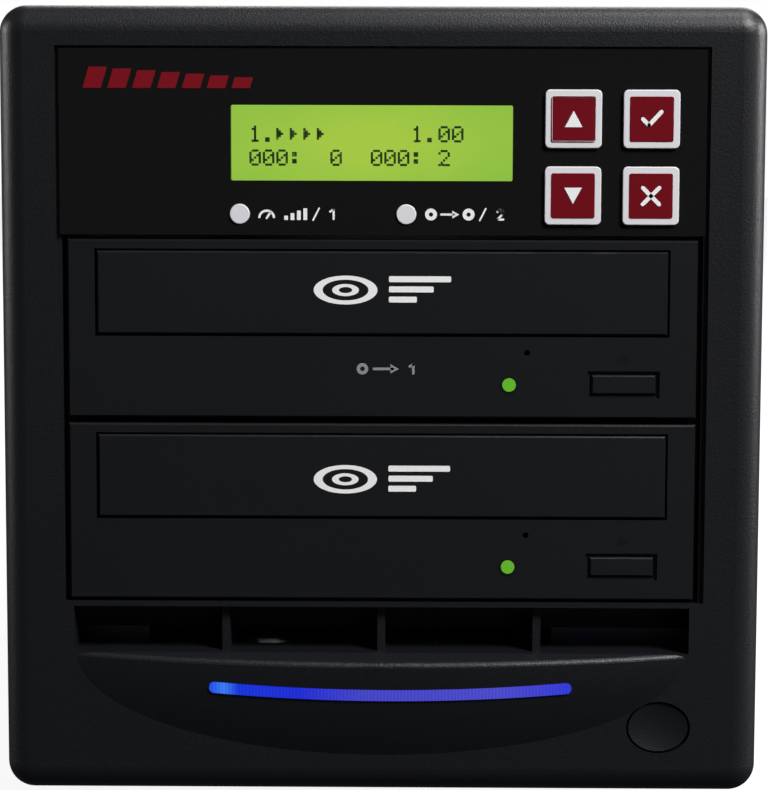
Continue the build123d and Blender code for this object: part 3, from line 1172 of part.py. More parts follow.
def fan_guard(x, z, face_y):
    """Round wire guard: rings on two crossed wires with an eye at each screw."""
    ring_y = face_y + GUARD_WIRE_R
    reach = FAN_SCREW_HALF * 2 ** 0.5
    eye_r = SCREW_HOLE_R + RUN_FIT + GUARD_WIRE_R
    guard = None
    for angle in (45, -45):
        rod = rod_x(GUARD_WIRE_R, (-reach + eye_r, reach - eye_r), 0, 0)
        wire = Pos(x, ring_y, z) * Rot(0, angle, 0) * rod
        guard = wire if guard is None else guard + wire
    for radius in GUARD_RINGS:
        guard += Pos(x, ring_y, z) * Rot(90, 0, 0) * Torus(radius, GUARD_WIRE_R)
    for eye_x, eye_z in corner_places(FAN_SCREW_HALF, FAN_SCREW_HALF, x, z):
        guard += Pos(eye_x, ring_y, eye_z) * Rot(90, 0, 0) * Torus(eye_r, GUARD_WIRE_R)
    return guard


# ---- wiring -------------------------------------------------------------------------------
LEAD_R = 1.8
LEAD_DROP_Y = 14.0        # plane in which leads run down behind the drives
LEAD_CORNER = 34.0
LEAD_FOLD = 7.0
PLUG_W = 8.0
PLUG_H = 11.0
PLUG_L = 15.0
DATA_X = (PORT_X + PORT_W / 2, PORT_X + PORT_PITCH + PORT_W / 2)
BOARD_LEAD_X = PORT_X + 2 * PORT_PITCH + PORT_W / 2
DRIVE_LEAD_X = (-15.0, -24.0)
PSU_LEAD_Z = 8.0          # leads leave the power supply this far below its top


def lead(points, radii):
    """A round lead along straight runs joined by arcs."""
    path = FilletPolyline(*points, radius=radii)
    start = Plane(origin=path @ 0, z_dir=path % 0)
    return sweep(start * Circle(LEAD_R), path)


def drive_plug(x, lower_edge):
    """Right-angle plug on a drive's rear socket: its box, and the place of its cable exits."""
    back = DRIVE_Y + DRIVE_FRONT_T + DRIVE_BODY_L
    low = lower_edge + (DRIVE_H - DRIVE_BODY_H) / 2 + PAN_FLANGE_H
    return centred(PLUG_W, (back, back + PLUG_L), (low, low + PLUG_H), x), low


def make_data_cables():
    """Two data leads from the controller board over the upper drive to the drives' sockets."""
    cables = []
    start_y = BOARD_Y + BOARD_T + PORT_L
    height = PANEL_Z + PANEL_H / 2
    for x, lower_edge in zip(DATA_X, (SOURCE_Z, TARGET_Z)):
        plug, low = drive_plug(x, lower_edge)
        points = [(x, start_y, height), (x, LEAD_DROP_Y, height), (x, LEAD_DROP_Y, low + PLUG_H)]
        cables.append(plug + lead(points, [LEAD_CORNER]))
    return cables


def make_power_harness():
    """Power leads from the power supply to both drives and the controller board."""
    psu_front = PSU_Y[0]
    source, source_low = drive_plug(DRIVE_LEAD_X[0], SOURCE_Z)
    target, target_low = drive_plug(DRIVE_LEAD_X[1], TARGET_Z)
    exit_z = PSU_TOP - PSU_LEAD_Z
    x = DRIVE_LEAD_X[0]
    up = [(x, psu_front, exit_z), (x, LEAD_DROP_Y, exit_z), (x, LEAD_DROP_Y, source_low)]
    x = DRIVE_LEAD_X[1]
    down = [(x, psu_front, exit_z), (x, LEAD_DROP_Y, exit_z), (x, LEAD_DROP_Y, target_low + PLUG_H)]
    x = BOARD_LEAD_X
    height = PANEL_Z + PANEL_H / 2
    board = [(x, BOARD_Y + BOARD_T + PORT_L, height), (x, LEAD_DROP_Y, height), (x, LEAD_DROP_Y, exit_z),
             (x, psu_front, exit_z)]
    to_source, to_target = source + lead(up, [LEAD_FOLD]), target + lead(down, [LEAD_FOLD])
    return [to_source, to_target, lead(board, [LEAD_CORNER, LEAD_FOLD])]


# ---- the whole tower ----------------------------------------------------------------------
def write_front():
    """Bezel, panel and their pieces."""
    save("front_bezel", make_front_bezel())
    save("light_bar", make_light_bar())
    save("light_bar_board", make_light_board())
    save("power_button", make_power_button())
    save("power_switch", make_power_switch())
    save("control_panel", make_control_panel())
    save("display_window", make_display_window())
    save("lcd_module", make_lcd_module())
    save("controller_board", make_controller_board())
    square, round_keys = key_places()
    for places, is_square in ((square, True), (round_keys, False)):
        for name, (x, height) in places.items():
            save(name, make_key(is_square, x, height))


def write_drives():
    """Both drives, piece by piece, and the pieces that come once for each drive."""
    pieces = {
        "drive_bezel": [make_drive_bezel()],
        "drive_cover": [make_drive_cover()],
        "drive_base": [make_drive_base()],
        "loader_frame": [make_loader_frame()],
        "tray": [make_tray()],
        "tray_door": [make_tray_door()],
        "eject_button": [make_eject_button()],
        "lift_deck": [make_deck(), *guide_rods()],
        "turntable": [make_turntable()],
        "pickup": [make_pickup()],
        "lead_screw": [make_lead_screw()],
        "loading_gear": [make_loading_gear()],
        "cam_slider": [make_cam_slider()],
    }
    places = {"source": drive_place(SOURCE_Z), "target": drive_place(TARGET_Z)}
    for drive, place in places.items():
        for name, solids in pieces.items():
            save(f"{drive}_{name}", *[place * solid for solid in solids])
    save("status_lenses", *[place * make_status_lens() for place in places.values()])
    save("disc_clampers", *[place * make_clamper() for place in places.values()])
    save("drive_boards", *[place * board for place in places.values() for board in make_drive_board()])


def write_case():
    """Case, power supply, fans and wiring."""
    save("chassis", make_chassis())
    save("cover", make_cover())
    save("drive_cage", make_drive_cage())
    save("feet", *make_feet())
    save("machine_screws", *make_machine_screws())
    save("psu_case", make_psu_case())
    save("psu_board", make_psu_board())
    save("mains_inlet", make_mains_inlet())
    save("mains_rocker", make_mains_rocker())
    psu_fan_back = PSU_Y[1] - PSU_SHEET
    case_fan = fan_frame(FAN_X, FAN_Z, REAR_INNER_Y)
    save("fan_frames", case_fan, fan_frame(PSU_FAN_X, PSU_MIDDLE_Z, psu_fan_back))
    save("case_fan_rotor", fan_rotor(FAN_X, FAN_Z, REAR_INNER_Y))
    save("psu_fan_rotor", fan_rotor(PSU_FAN_X, PSU_MIDDLE_Z, psu_fan_back))
    save("fan_guards", fan_guard(FAN_X, FAN_Z, CASE_BACK_Y), fan_guard(PSU_FAN_X, PSU_MIDDLE_Z, PSU_Y[1]))
    save("data_cables", *make_data_cables())
    save("power_harness", *make_power_harness())


if __name__ == "__main__":
    os.makedirs("parts", exist_ok=True)
    write_front()
    write_drives()
    write_case()
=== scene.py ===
"""The looks of a disc duplicator tower: finishes for its built pieces, and the fine pieces on them.

The built pieces come from the frame and stay where they are. This script dresses them, adds the
printed marks, key faces, display dots, lamp rings and screw slots, and sets the studio round them.
The lamp rings and screw slots are dark pieces of painted shade.
Lengths in the classes are millimetres unless a name says otherwise, and places are in metres.
"""

import json
import logging
import math
from dataclasses import dataclass, field
from enum import Enum
from typing import Sequence

import bmesh
import bpy
from mathutils import Euler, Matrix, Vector


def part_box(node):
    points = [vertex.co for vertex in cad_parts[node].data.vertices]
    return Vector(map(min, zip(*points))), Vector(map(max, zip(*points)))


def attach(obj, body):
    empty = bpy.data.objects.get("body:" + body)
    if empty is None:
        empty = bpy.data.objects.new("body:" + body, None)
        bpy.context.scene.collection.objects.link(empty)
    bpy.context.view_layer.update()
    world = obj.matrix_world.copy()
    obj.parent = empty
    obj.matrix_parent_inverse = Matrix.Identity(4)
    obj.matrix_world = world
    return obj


logging.basicConfig(level=logging.INFO, format="%(levelname)s %(message)s")
log = logging.getLogger("tower")

MM = 0.001
Span = tuple[float, float]
Place = tuple[float, float, float]
Piece, Material = bpy.types.Object, bpy.types.Material
Tree, Socket = bpy.types.NodeTree, bpy.types.NodeSocket
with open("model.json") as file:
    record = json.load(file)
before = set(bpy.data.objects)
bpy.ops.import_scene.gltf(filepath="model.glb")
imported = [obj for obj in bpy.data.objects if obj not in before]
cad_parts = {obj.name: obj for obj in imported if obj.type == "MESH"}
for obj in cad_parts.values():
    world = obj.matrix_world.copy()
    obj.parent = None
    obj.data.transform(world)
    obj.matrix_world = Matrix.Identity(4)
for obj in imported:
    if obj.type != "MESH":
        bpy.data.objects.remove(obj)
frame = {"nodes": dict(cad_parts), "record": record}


def corners(node: str) -> tuple[Vector, Vector]:
    """Lowest and highest corner of a built piece, in metres.

    Args:
        node: name of the built piece.
    Returns:
        Its two corners.
    """
    low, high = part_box(node)
    return Vector(low), Vector(high)


# ---- colour and node helpers --------------------------------------------------------------
def linear(code: str, alpha: float = 1.0) -> tuple[float, float, float, float]:
    """Turn an sRGB hex value into the linear colour that a shader takes.

    Args:
        code: colour such as "#1B1C20".
        alpha: opacity.
    Returns:
        Linear red, green, blue and alpha.
    """
    def channel(value: float) -> float:
        """Undo the sRGB curve of one channel."""
        return value / 12.92 if value <= 0.04045 else ((value + 0.055) / 1.055) ** 2.4

    rgb = [channel(int(code[index:index + 2], 16) / 255) for index in (1, 3, 5)]
    return rgb[0], rgb[1], rgb[2], alpha


def add_node(tree: Tree, kind: str, settings: dict | None = None,
             links: dict | None = None) -> bpy.types.Node:
    """Add one node with its settings and incoming links.

    Args:
        tree: node tree to add to.
        kind: node type, such as "ShaderNodeTexNoise".
        settings: attribute values, or socket values for names that are inputs.
        links: input name or index to the output socket that feeds it.
    Returns:
        The new node.
    """
    node = tree.nodes.new(kind)
    for name, value in (settings or {}).items():
        if isinstance(name, int) or name in node.inputs:
            node.inputs[name].default_value = value
        else:
            setattr(node, name, value)
    for name, socket in (links or {}).items():
        tree.links.new(socket, node.inputs[name])
    return node


def fresh(name: str) -> tuple[Material, Tree]:
    """A new node material with an empty tree."""
    material = bpy.data.materials.new(name)
    material.use_nodes = True
    material.node_tree.nodes.clear()
    return material, material.node_tree


def per_metre(size_mm: float) -> float:
    """Pattern scale whose cells are about this many millimetres wide."""
    return 1.0 / (size_mm * MM)


def object_place(tree: Tree) -> Socket:
    """Place on the object in metres, which every pattern follows."""
    return add_node(tree, "ShaderNodeTexCoord").outputs["Object"]


def noise(tree: Tree, place: Socket, size_mm: float,
          detail: float) -> Socket:
    """Share from 0 to 1 of a cloudy pattern whose patches are about size_mm wide."""
    settings = {"Scale": per_metre(size_mm), "Detail": detail}
    return add_node(tree, "ShaderNodeTexNoise", settings, {"Vector": place}).outputs["Fac"]


def spread(tree: Tree, share: Socket, low: float,
           high: float) -> Socket:
    """Stretch a share from 0 to 1 over low to high."""
    return add_node(tree, "ShaderNodeMapRange", {"To Min": low, "To Max": high}, {"Value": share}).outputs[0]


def mixed(tree: Tree, first: Sequence[float], second: Sequence[float],
          share: Socket) -> Socket:
    """Colour between two others, by a share."""
    return add_node(tree, "ShaderNodeMix", {"data_type": "RGBA", 6: first, 7: second}, {0: share}).outputs[2]


def shade(colour: Sequence[float], factor: float) -> tuple[float, float, float, float]:
    """A colour made lighter or darker by a factor."""
    return (*[value * factor for value in colour[:3]], 1.0)


def bumped(tree: Tree, height: Socket, strength: float,
           depth_mm: float) -> Socket:
    """Normal of a skin that rises with a pattern."""
    settings = {"Strength": strength, "Distance": depth_mm * MM}
    return add_node(tree, "ShaderNodeBump", settings, {"Height": height}).outputs[0]


def skin(tree: Tree, settings: dict, links: dict) -> None:
    """Give a material its surface shader.

    Args:
        tree: the material's node tree.
        settings: the shader's constant values.
        links: the shader's inputs that a pattern feeds.
    """
    shader = add_node(tree, "ShaderNodeBsdfPrincipled", settings, links)
    add_node(tree, "ShaderNodeOutputMaterial", {}, {"Surface": shader.outputs[0]})


# ---- finishes -----------------------------------------------------------------------------
@dataclass(frozen=True)
class MouldedPlastic:
    """ABS or similar from a spark-eroded mould: a matt grain that glitters where it turns."""

    name: str
    colour: str
    roughness: float = 0.45
    grain_mm: float = 0.35
    grain_depth: float = 0.25
    mottle: float = 0.12
    sheen: float = 0.3
    cloud_mm: float = 40.0
    rough_spread: float = 0.08
    rise: float = 0.2             # height of the grain as a share of its width

    def build(self) -> Material:
        """Make the material."""
        material, tree = fresh(self.name)
        place = object_place(tree)
        settings = {"Scale": per_metre(self.grain_mm), "Detail": 3.0, "Roughness": 0.6}
        grain = add_node(tree, "ShaderNodeTexNoise", settings, {"Vector": place}).outputs["Fac"]
        base = linear(self.colour)
        tone = mixed(tree, shade(base, 1 - self.mottle), shade(base, 1 + self.mottle),
                     noise(tree, place, self.cloud_mm, 2.0))
        rough = spread(tree, grain, self.roughness - self.rough_spread, self.roughness + self.rough_spread)
        bump = bumped(tree, grain, self.grain_depth, self.grain_mm * self.rise)
        skin(tree, {"Specular IOR Level": self.sheen},
             {"Base Color": tone, "Roughness": rough, "Normal": bump})
        return material


@dataclass(frozen=True)
class SheetSteel:
    """Zinc-plated or nickel-plated steel: fine rolling streaks with faint spangle."""

    name: str
    colour: str
    roughness: float = 0.34
    streak_mm: float = 0.25
    stretch: float = 60.0
    axis: int = 1
    spangle_mm: float = 9.0
    dull: float = 0.86
    streak_rise: float = 0.02     # height of the streaks, mm

    def build(self) -> Material:
        """Make the material."""
        material, tree = fresh(self.name)
        place = object_place(tree)
        ratio = [1.0, 1.0, 1.0]
        ratio[self.axis] = 1.0 / self.stretch
        along = add_node(tree, "ShaderNodeMapping", {"Scale": ratio}, {"Vector": place}).outputs[0]
        streak = noise(tree, along, self.streak_mm, 2.0)
        settings = {"Scale": per_metre(self.spangle_mm)}
        spangle = add_node(tree, "ShaderNodeTexVoronoi", settings, {"Vector": place})
        base = linear(self.colour)
        tone = mixed(tree, shade(base, self.dull), base, spangle.outputs["Distance"])
        rough = spread(tree, streak, self.roughness - 0.07, self.roughness + 0.1)
        bump = bumped(tree, streak, 0.08, self.streak_rise)
        skin(tree, {"Metallic": 1.0}, {"Base Color": tone, "Roughness": rough, "Normal": bump})
        return material


@dataclass(frozen=True)
class PowderCoat:
    """Black powder coat baked on steel: a shallow orange peel under a satin skin."""

    name: str
    colour: str
    roughness: float = 0.4
    peel_mm: float = 0.9
    peel_rise: float = 0.05       # height of the peel, mm
    dust_mm: float = 25.0
    lift: float = 1.25            # brightness of the palest patches

    def build(self) -> Material:
        """Make the material."""
        material, tree = fresh(self.name)
        place = object_place(tree)
        settings = {"Scale": per_metre(self.peel_mm), "feature": "SMOOTH_F1"}
        peel = add_node(tree, "ShaderNodeTexVoronoi", settings, {"Vector": place})
        dust = noise(tree, place, self.dust_mm, 4.0)
        base = linear(self.colour)
        tone = mixed(tree, base, shade(base, self.lift), dust)
        rough = spread(tree, dust, self.roughness - 0.05, self.roughness + 0.1)
        bump = bumped(tree, peel.outputs["Distance"], 0.2, self.peel_rise)
        skin(tree, {"IOR": 1.5}, {"Base Color": tone, "Roughness": rough, "Normal": bump})
        return material


@dataclass(frozen=True)
class PrintInk:
    """Screen-printed or tampo-printed ink: flat colour with a faintly uneven skin."""

    name: str
    colour: str
    roughness: float = 0.5
    glow: float = 0.0
    fleck_mm: float = 0.6
    thin: float = 0.88            # brightness where the ink lies thin

    def build(self) -> Material:
        """Make the material."""
        material, tree = fresh(self.name)
        base = linear(self.colour)
        tone = mixed(tree, shade(base, self.thin), base, noise(tree, object_place(tree), self.fleck_mm, 2.0))
        settings = {"Roughness": self.roughness, "Specular IOR Level": 0.2}
        links = {"Base Color": tone}
        if self.glow:
            settings["Emission Strength"] = self.glow
            links["Emission Color"] = tone
        skin(tree, settings, links)
        return material


@dataclass(frozen=True)
class LitDisplay:
    """Yellow-green backlight seen through the diffuser: brighter in the middle, lit to the front only."""

    name: str
    colours: tuple[str, str]
    middle: Place
    half: tuple[float, float]
    glow: float = 1.0
    fall_off: Place = (0.7, 0.0, 0.55)   # how fast it dims along each axis
    patch_mm: float = 14.0
    patch_share: float = 0.45

    def build(self) -> Material:
        """Make the material."""
        material, tree = fresh(self.name)
        place = object_place(tree)
        scale = (1 / self.half[0], 1.0, 1 / self.half[1])
        offset = (-self.middle[0] * scale[0], -self.middle[1], -self.middle[2] * scale[2])
        local = add_node(tree, "ShaderNodeMapping", {"Location": offset, "Scale": scale}, {"Vector": place})
        dimmed = add_node(tree, "ShaderNodeMapping", {"Scale": self.fall_off}, {"Vector": local.outputs[0]})
        glow = add_node(tree, "ShaderNodeTexGradient", {"gradient_type": "SPHERICAL"},
                        {"Vector": dimmed.outputs[0]})
        share = add_node(tree, "ShaderNodeMath", {"operation": "MULTIPLY_ADD", 1: self.patch_share},
                         {0: noise(tree, place, self.patch_mm, 1.0), 2: glow.outputs["Fac"]})
        tone = mixed(tree, linear(self.colours[0]), linear(self.colours[1]), share.outputs[0])
        normal = add_node(tree, "ShaderNodeNewGeometry").outputs["Normal"]
        facing = add_node(tree, "ShaderNodeVectorMath",
                          {"operation": "DOT_PRODUCT", 1: (0.0, -self.glow, 0.0)}, {0: normal})
        strength = add_node(tree, "ShaderNodeMath", {"operation": "MAXIMUM", 1: 0.0},
                            {0: facing.outputs["Value"]})
        skin(tree, {"Base Color": linear("#20300C"), "Roughness": 0.4, "Specular IOR Level": 0.2},
             {"Emission Color": tone, "Emission Strength": strength.outputs[0]})
        return material


@dataclass(frozen=True)
class LightGuide:
    """Acrylic light guide lit from its left end: deep blue there, paler along its length."""

    name: str
    left_x: float
    right_x: float
    stops: tuple[tuple[float, str], ...]
    rib_mm: float = 0.8
    glow: float = 1.0
    wave_cell: float = 0.314      # turns a pattern's scale into that of the wave texture

    def build(self) -> Material:
        """Make the material."""
        material, tree = fresh(self.name)
        place = object_place(tree)
        axis = add_node(tree, "ShaderNodeSeparateXYZ", {}, {0: place})
        along = add_node(tree, "ShaderNodeMapRange", {"From Min": self.left_x, "From Max": self.right_x},
                         {"Value": axis.outputs["X"]})
        ramp = add_node(tree, "ShaderNodeValToRGB", {}, {"Fac": along.outputs[0]})
        elements = ramp.color_ramp.elements
        elements[0].position, elements[0].color = self.stops[0][0], linear(self.stops[0][1])
        elements[1].position, elements[1].color = self.stops[-1][0], linear(self.stops[-1][1])
        for position, code in self.stops[1:-1]:
            elements.new(position).color = linear(code)
        settings = {"Scale": per_metre(self.rib_mm) * self.wave_cell, "Distortion": 0.4}
        ribs = add_node(tree, "ShaderNodeTexWave", settings, {"Vector": place})
        tone = add_node(tree, "ShaderNodeVectorMath", {"operation": "SCALE"},
                        {0: ramp.outputs["Color"], "Scale": spread(tree, ribs.outputs["Fac"], 0.82, 1.08)})
        skin(tree, {"Base Color": linear("#10131F"), "Roughness": 0.12, "Emission Strength": self.glow},
             {"Emission Color": tone.outputs[0]})
        return material


@dataclass(frozen=True)
class ClearAcrylic:
    """Clear cast acrylic: an unbroken gloss with faint wipe marks."""

    name: str
    roughness: float = 0.03
    haze_mm: float = 12.0
    haze: float = 0.05

    def build(self) -> Material:
        """Make the material."""
        material, tree = fresh(self.name)
        haze = noise(tree, object_place(tree), self.haze_mm, 3.0)
        skin(tree, {"Base Color": linear("#F4F7F0"), "Transmission Weight": 1.0, "IOR": 1.05},
             {"Roughness": spread(tree, haze, self.roughness, self.roughness + self.haze)})
        return material


@dataclass(frozen=True)
class CircuitBoard:
    """Fibreglass board under green solder mask, with paler copper runs beneath it."""

    name: str
    run_mm: float = 1.6
    run_share: float = 0.55
    run_rise: float = 0.03        # height of the runs, mm

    def build(self) -> Material:
        """Make the material."""
        material, tree = fresh(self.name)
        settings = {"Scale": per_metre(self.run_mm), "distance": "MANHATTAN", "feature": "F1"}
        runs = add_node(tree, "ShaderNodeTexVoronoi", settings, {"Vector": object_place(tree)})
        edge = add_node(tree, "ShaderNodeMath", {"operation": "GREATER_THAN", 1: self.run_share},
                        {0: runs.outputs["Distance"]}).outputs[0]
        tone = mixed(tree, linear("#0B4A22"), linear("#1B6B36"), edge)
        skin(tree, {"Roughness": 0.3}, {"Base Color": tone, "Normal": bumped(tree, edge, 0.3, self.run_rise)})
        return material


# ---- modelling bench ----------------------------------------------------------------------
class Bench:
    """Models pieces with the usual operators and leaves each one at the origin."""

    @staticmethod
    def clear() -> None:
        """Leave edit mode and deselect everything."""
        if bpy.context.object and bpy.context.object.mode != "OBJECT":
            bpy.ops.object.mode_set(mode="OBJECT")
        bpy.ops.object.select_all(action="DESELECT")

    @staticmethod
    def settle(piece: Piece, name: str, finish: Material,
               body: str) -> Piece:
        """Name a piece, bake its place into its mesh, dress it and let it ride on a body.

        Args:
            piece: the modelled object.
            name: its name.
            finish: its material.
            body: the body that it moves with.
        Returns:
            The piece.
        """
        Bench.clear()
        piece.select_set(True)
        bpy.context.view_layer.objects.active = piece
        bpy.ops.object.transform_apply(location=True, rotation=True, scale=True)
        piece.name = name
        piece.data.name = name
        piece.data.materials.clear()
        piece.data.materials.append(finish)
        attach(piece, body)
        log.info("piece %s on %s", name, body)
        return piece

    @staticmethod
    def plate(x: Span, y: Span, z: Span, round_mm: float, edge_mm: float = 0.0) -> Piece:
        """A flat plate with rounded corners as seen from the front, and a softened front edge.

        Args:
            x: left and right edge.
            y: front and back face.
            z: lower and upper edge.
            round_mm: corner radius.
            edge_mm: radius of the front edge.
        Returns:
            The object, still with its place outside its mesh.
        """
        Bench.clear()
        middle = [(pair[0] + pair[1]) / 2 for pair in (x, y, z)]
        bpy.ops.mesh.primitive_cube_add(size=1.0, location=middle)
        piece = bpy.context.object
        piece.scale = [pair[1] - pair[0] for pair in (x, y, z)]
        bpy.ops.object.transform_apply(location=True, rotation=False, scale=True)
        mesh = piece.data
        bpy.ops.object.mode_set(mode="EDIT")
        bpy.ops.mesh.select_all(action="DESELECT")
        bpy.ops.object.mode_set(mode="OBJECT")
        for edge in mesh.edges:
            ends = [mesh.vertices[index].co for index in edge.vertices]
            edge.select = abs(ends[0].y - ends[1].y) > 1e-7
        bpy.ops.object.mode_set(mode="EDIT")
        bpy.ops.mesh.select_mode(type="EDGE")
        bpy.ops.mesh.bevel(offset=round_mm * MM, offset_type="OFFSET", segments=6, affect="EDGES")
        bpy.ops.object.mode_set(mode="OBJECT")
        if edge_mm:
            soften = piece.modifiers.new("soften", "BEVEL")
            soften.width = edge_mm * MM
            soften.segments = 3
            soften.limit_method = "ANGLE"
            soften.angle_limit = math.radians(60)
            bpy.ops.object.modifier_apply(modifier=soften.name)
        return piece

    @staticmethod
    def prism(points: Sequence[tuple[float, float]], y: Span, edge_mm: float = 0.0) -> Piece:
        """A flat outline in X and Z, extruded from y[0] to y[1].

        Args:
            points: corners in metres, in order round the outline.
            y: front and back face.
            edge_mm: radius of its edges.
        Returns:
            The object.
        """
        Bench.clear()
        bpy.ops.mesh.primitive_plane_add(size=1.0)
        piece = bpy.context.object
        work = bmesh.new()
        loop = [work.verts.new((px, y[1], pz)) for px, pz in points]
        work.faces.new(loop)
        work.to_mesh(piece.data)
        work.free()
        bpy.ops.object.mode_set(mode="EDIT")
        bpy.ops.mesh.select_all(action="SELECT")
        bpy.ops.mesh.extrude_region_move(TRANSFORM_OT_translate={"value": (0, y[0] - y[1], 0)})
        bpy.ops.mesh.select_all(action="SELECT")
        bpy.ops.mesh.normals_make_consistent(inside=False)
        bpy.ops.object.mode_set(mode="OBJECT")
        if edge_mm:
            soften = piece.modifiers.new("soften", "BEVEL")
            soften.width = edge_mm * MM
            soften.segments = 2
            bpy.ops.object.modifier_apply(modifier=soften.name)
        return piece

    @staticmethod
    def ring(x: float, z: float, y: Span, outer_mm: float, inner_mm: float,
             sides: int = 48) -> Piece:
        """A flat ring facing the front.

        Args:
            x: middle, in metres.
            z: middle, in metres.
            y: front and back face.
            outer_mm: outer radius.
            inner_mm: inner radius, above zero.
            sides: number of sides.
        Returns:
            The object.
        """
        Bench.clear()
        bpy.ops.mesh.primitive_cylinder_add(vertices=sides, radius=outer_mm * MM, depth=y[1] - y[0],
                                            end_fill_type="NGON", location=(x, sum(y) / 2, z),
                                            rotation=(math.pi / 2, 0, 0))
        piece = bpy.context.object
        bpy.ops.object.transform_apply(location=True, rotation=True, scale=True)
        bpy.ops.object.mode_set(mode="EDIT")
        bpy.ops.mesh.select_mode(type="FACE")
        bpy.ops.mesh.select_all(action="DESELECT")
        bpy.ops.object.mode_set(mode="OBJECT")
        for face in piece.data.polygons:
            face.select = len(face.vertices) == sides
        bpy.ops.object.mode_set(mode="EDIT")
        bpy.ops.mesh.inset(thickness=(outer_mm - inner_mm) * MM, depth=0)
        bpy.ops.mesh.bridge_edge_loops()
        bpy.ops.object.mode_set(mode="OBJECT")
        return piece

    @staticmethod
    def join(pieces: Sequence[Piece]) -> Piece:
        """Join modelled pieces into one object.

        Args:
            pieces: the objects, the first of which stays.
        Returns:
            The joined object.
        """
        for piece in pieces:
            Bench.clear()
            piece.select_set(True)
            bpy.context.view_layer.objects.active = piece
            bpy.ops.object.transform_apply(location=True, rotation=True, scale=True)
        Bench.clear()
        for piece in pieces:
            piece.select_set(True)
        bpy.context.view_layer.objects.active = pieces[0]
        if len(pieces) > 1:
            bpy.ops.object.join()
        return bpy.context.object


def arc_points(x: float, z: float, radius: float, start: float, end: float,
               count: int) -> list[tuple[float, float]]:
    """Points on an arc in X and Z, angles in degrees from +X towards +Z."""
    angles = [math.radians(start + (end - start) * step / count) for step in range(count + 1)]
    return [(x + radius * math.cos(angle), z + radius * math.sin(angle)) for angle in angles]


# ---- dressing of the built pieces ---------------------------------------------------------
class Finish(Enum):
    """Finishes of the built pieces, by the record's slot names."""

    BEZEL = "bezel_abs"
    DRIVE = "drive_abs"
    PANEL = "panel_acrylic"
    WINDOW = "window_acrylic"
    DISPLAY = "lcd_glass"
    KEY = "key_white"
    LIGHT_BAR = "light_bar_acrylic"
    LAMP = "led_green"
    INNER = "inner_plastic"
    GEAR = "gear_pom"
    TURNTABLE = "turntable_alu"
    BOARD = "circuit_board"
    ZINC = "zinc_steel"
    COVER = "cover_paint"
    FOOT = "foot_rubber"
    SCREW = "screw_steel"
    GUARD = "guard_chrome"
    DATA_LEAD = "data_cable"
    POWER_LEAD = "power_cable"


@dataclass
class Wardrobe:
    """Makes each finish once and puts it on the built pieces of its slot."""

    made: dict[Finish, Material] = field(default_factory=dict)

    def make(self) -> None:
        """Make all finishes."""
        window_low, window_high = corners("display_window")
        middle = (window_low + window_high) / 2
        half = (window_high - window_low) / 2
        bar_low, bar_high = corners("light_bar")
        recipes = {
            # spark-grained black ABS: glitters where it rounds over
            Finish.BEZEL: MouldedPlastic("ABS_black_spark_grain", "#111216", 0.40, 0.45, 0.9, 0.10, 0.42),
            # finer grain than the bezel: an even satin black
            Finish.DRIVE: MouldedPlastic("ABS_black_fine_grain", "#131417", 0.38, 0.25, 0.22, 0.08, 0.35),
            # back-printed acrylic: smooth and deep black
            Finish.PANEL: MouldedPlastic("acrylic_black_screen_printed", "#141414", 0.22, 3.0, 0.03, 0.04,
                                         0.12),
            Finish.WINDOW: ClearAcrylic("acrylic_clear_polished"),
            Finish.DISPLAY: LitDisplay("display_backlight_yellow_green", ("#7FBC46", "#A8CB48"),
                                       tuple(middle), (half.x, half.z)),
            # white caps: bright, barely grained
            Finish.KEY: MouldedPlastic("ABS_white_keycap", "#DAD8DC", 0.35, 0.3, 0.12, 0.03),
            Finish.LIGHT_BAR: LightGuide("acrylic_light_guide_blue", bar_low.x, bar_high.x,
                                         ((0.0, "#2046E6"), (0.04, "#3A7CF8"), (0.08, "#1234DC"),
                                          (0.25, "#1C2AD6"), (0.42, "#4444C8"), (0.8, "#4C4ACC"),
                                          (1.0, "#3038D8"))),
            Finish.LAMP: PrintInk("epoxy_lamp_green", "#5CA82A", 0.25, 0.3),
            Finish.INNER: MouldedPlastic("ABS_black_inner", "#1C1D1F", 0.5, 0.5, 0.15, 0.1),
            Finish.GEAR: MouldedPlastic("acetal_natural", "#D8D6CC", 0.38, 0.6, 0.08, 0.04),
            Finish.TURNTABLE: SheetSteel("aluminium_turned", "#C6C8CC", 0.28, 0.2, 12.0, 2),
            Finish.BOARD: CircuitBoard("fibreglass_green_mask"),
            Finish.ZINC: SheetSteel("steel_zinc_plated", "#B4B7BB"),
            Finish.COVER: PowderCoat("steel_black_powder_coat", "#1A1B1D"),
            Finish.FOOT: MouldedPlastic("rubber_black_moulded", "#141414", 0.75, 0.5, 0.3, 0.1),
            Finish.SCREW: SheetSteel("steel_nickel_plated", "#C9CACC", 0.22, 0.3, 4.0, 1),
            Finish.GUARD: SheetSteel("wire_bright_chrome", "#D2D4D8", 0.14, 0.4, 6.0, 1),
            Finish.DATA_LEAD: MouldedPlastic("PVC_red_lead", "#9E1B1B", 0.4, 0.5, 0.1, 0.05),
            Finish.POWER_LEAD: MouldedPlastic("PET_black_sleeve", "#202124", 0.55, 0.6, 0.6, 0.15),
        }
        self.made = {finish: recipe.build() for finish, recipe in recipes.items()}

    def dress(self) -> None:
        """Put each built piece in its slot's finish."""
        for entry in frame["record"]["subparts"]:
            node = entry["node"]
            material = self.made[Finish(entry["material_slot"])]
            mesh = frame["nodes"][node].data
            mesh.materials.clear()
            mesh.materials.append(material)
            log.info("dressed %s in %s", node, material.name)

    def __getitem__(self, finish: Finish) -> Material:
        """The material of a finish."""
        return self.made[finish]


# ---- control panel ------------------------------------------------------------------------
class Symbol(Enum):
    """What a square key shows."""

    UP = "up"
    DOWN = "down"
    TICK = "tick"
    CROSS = "cross"


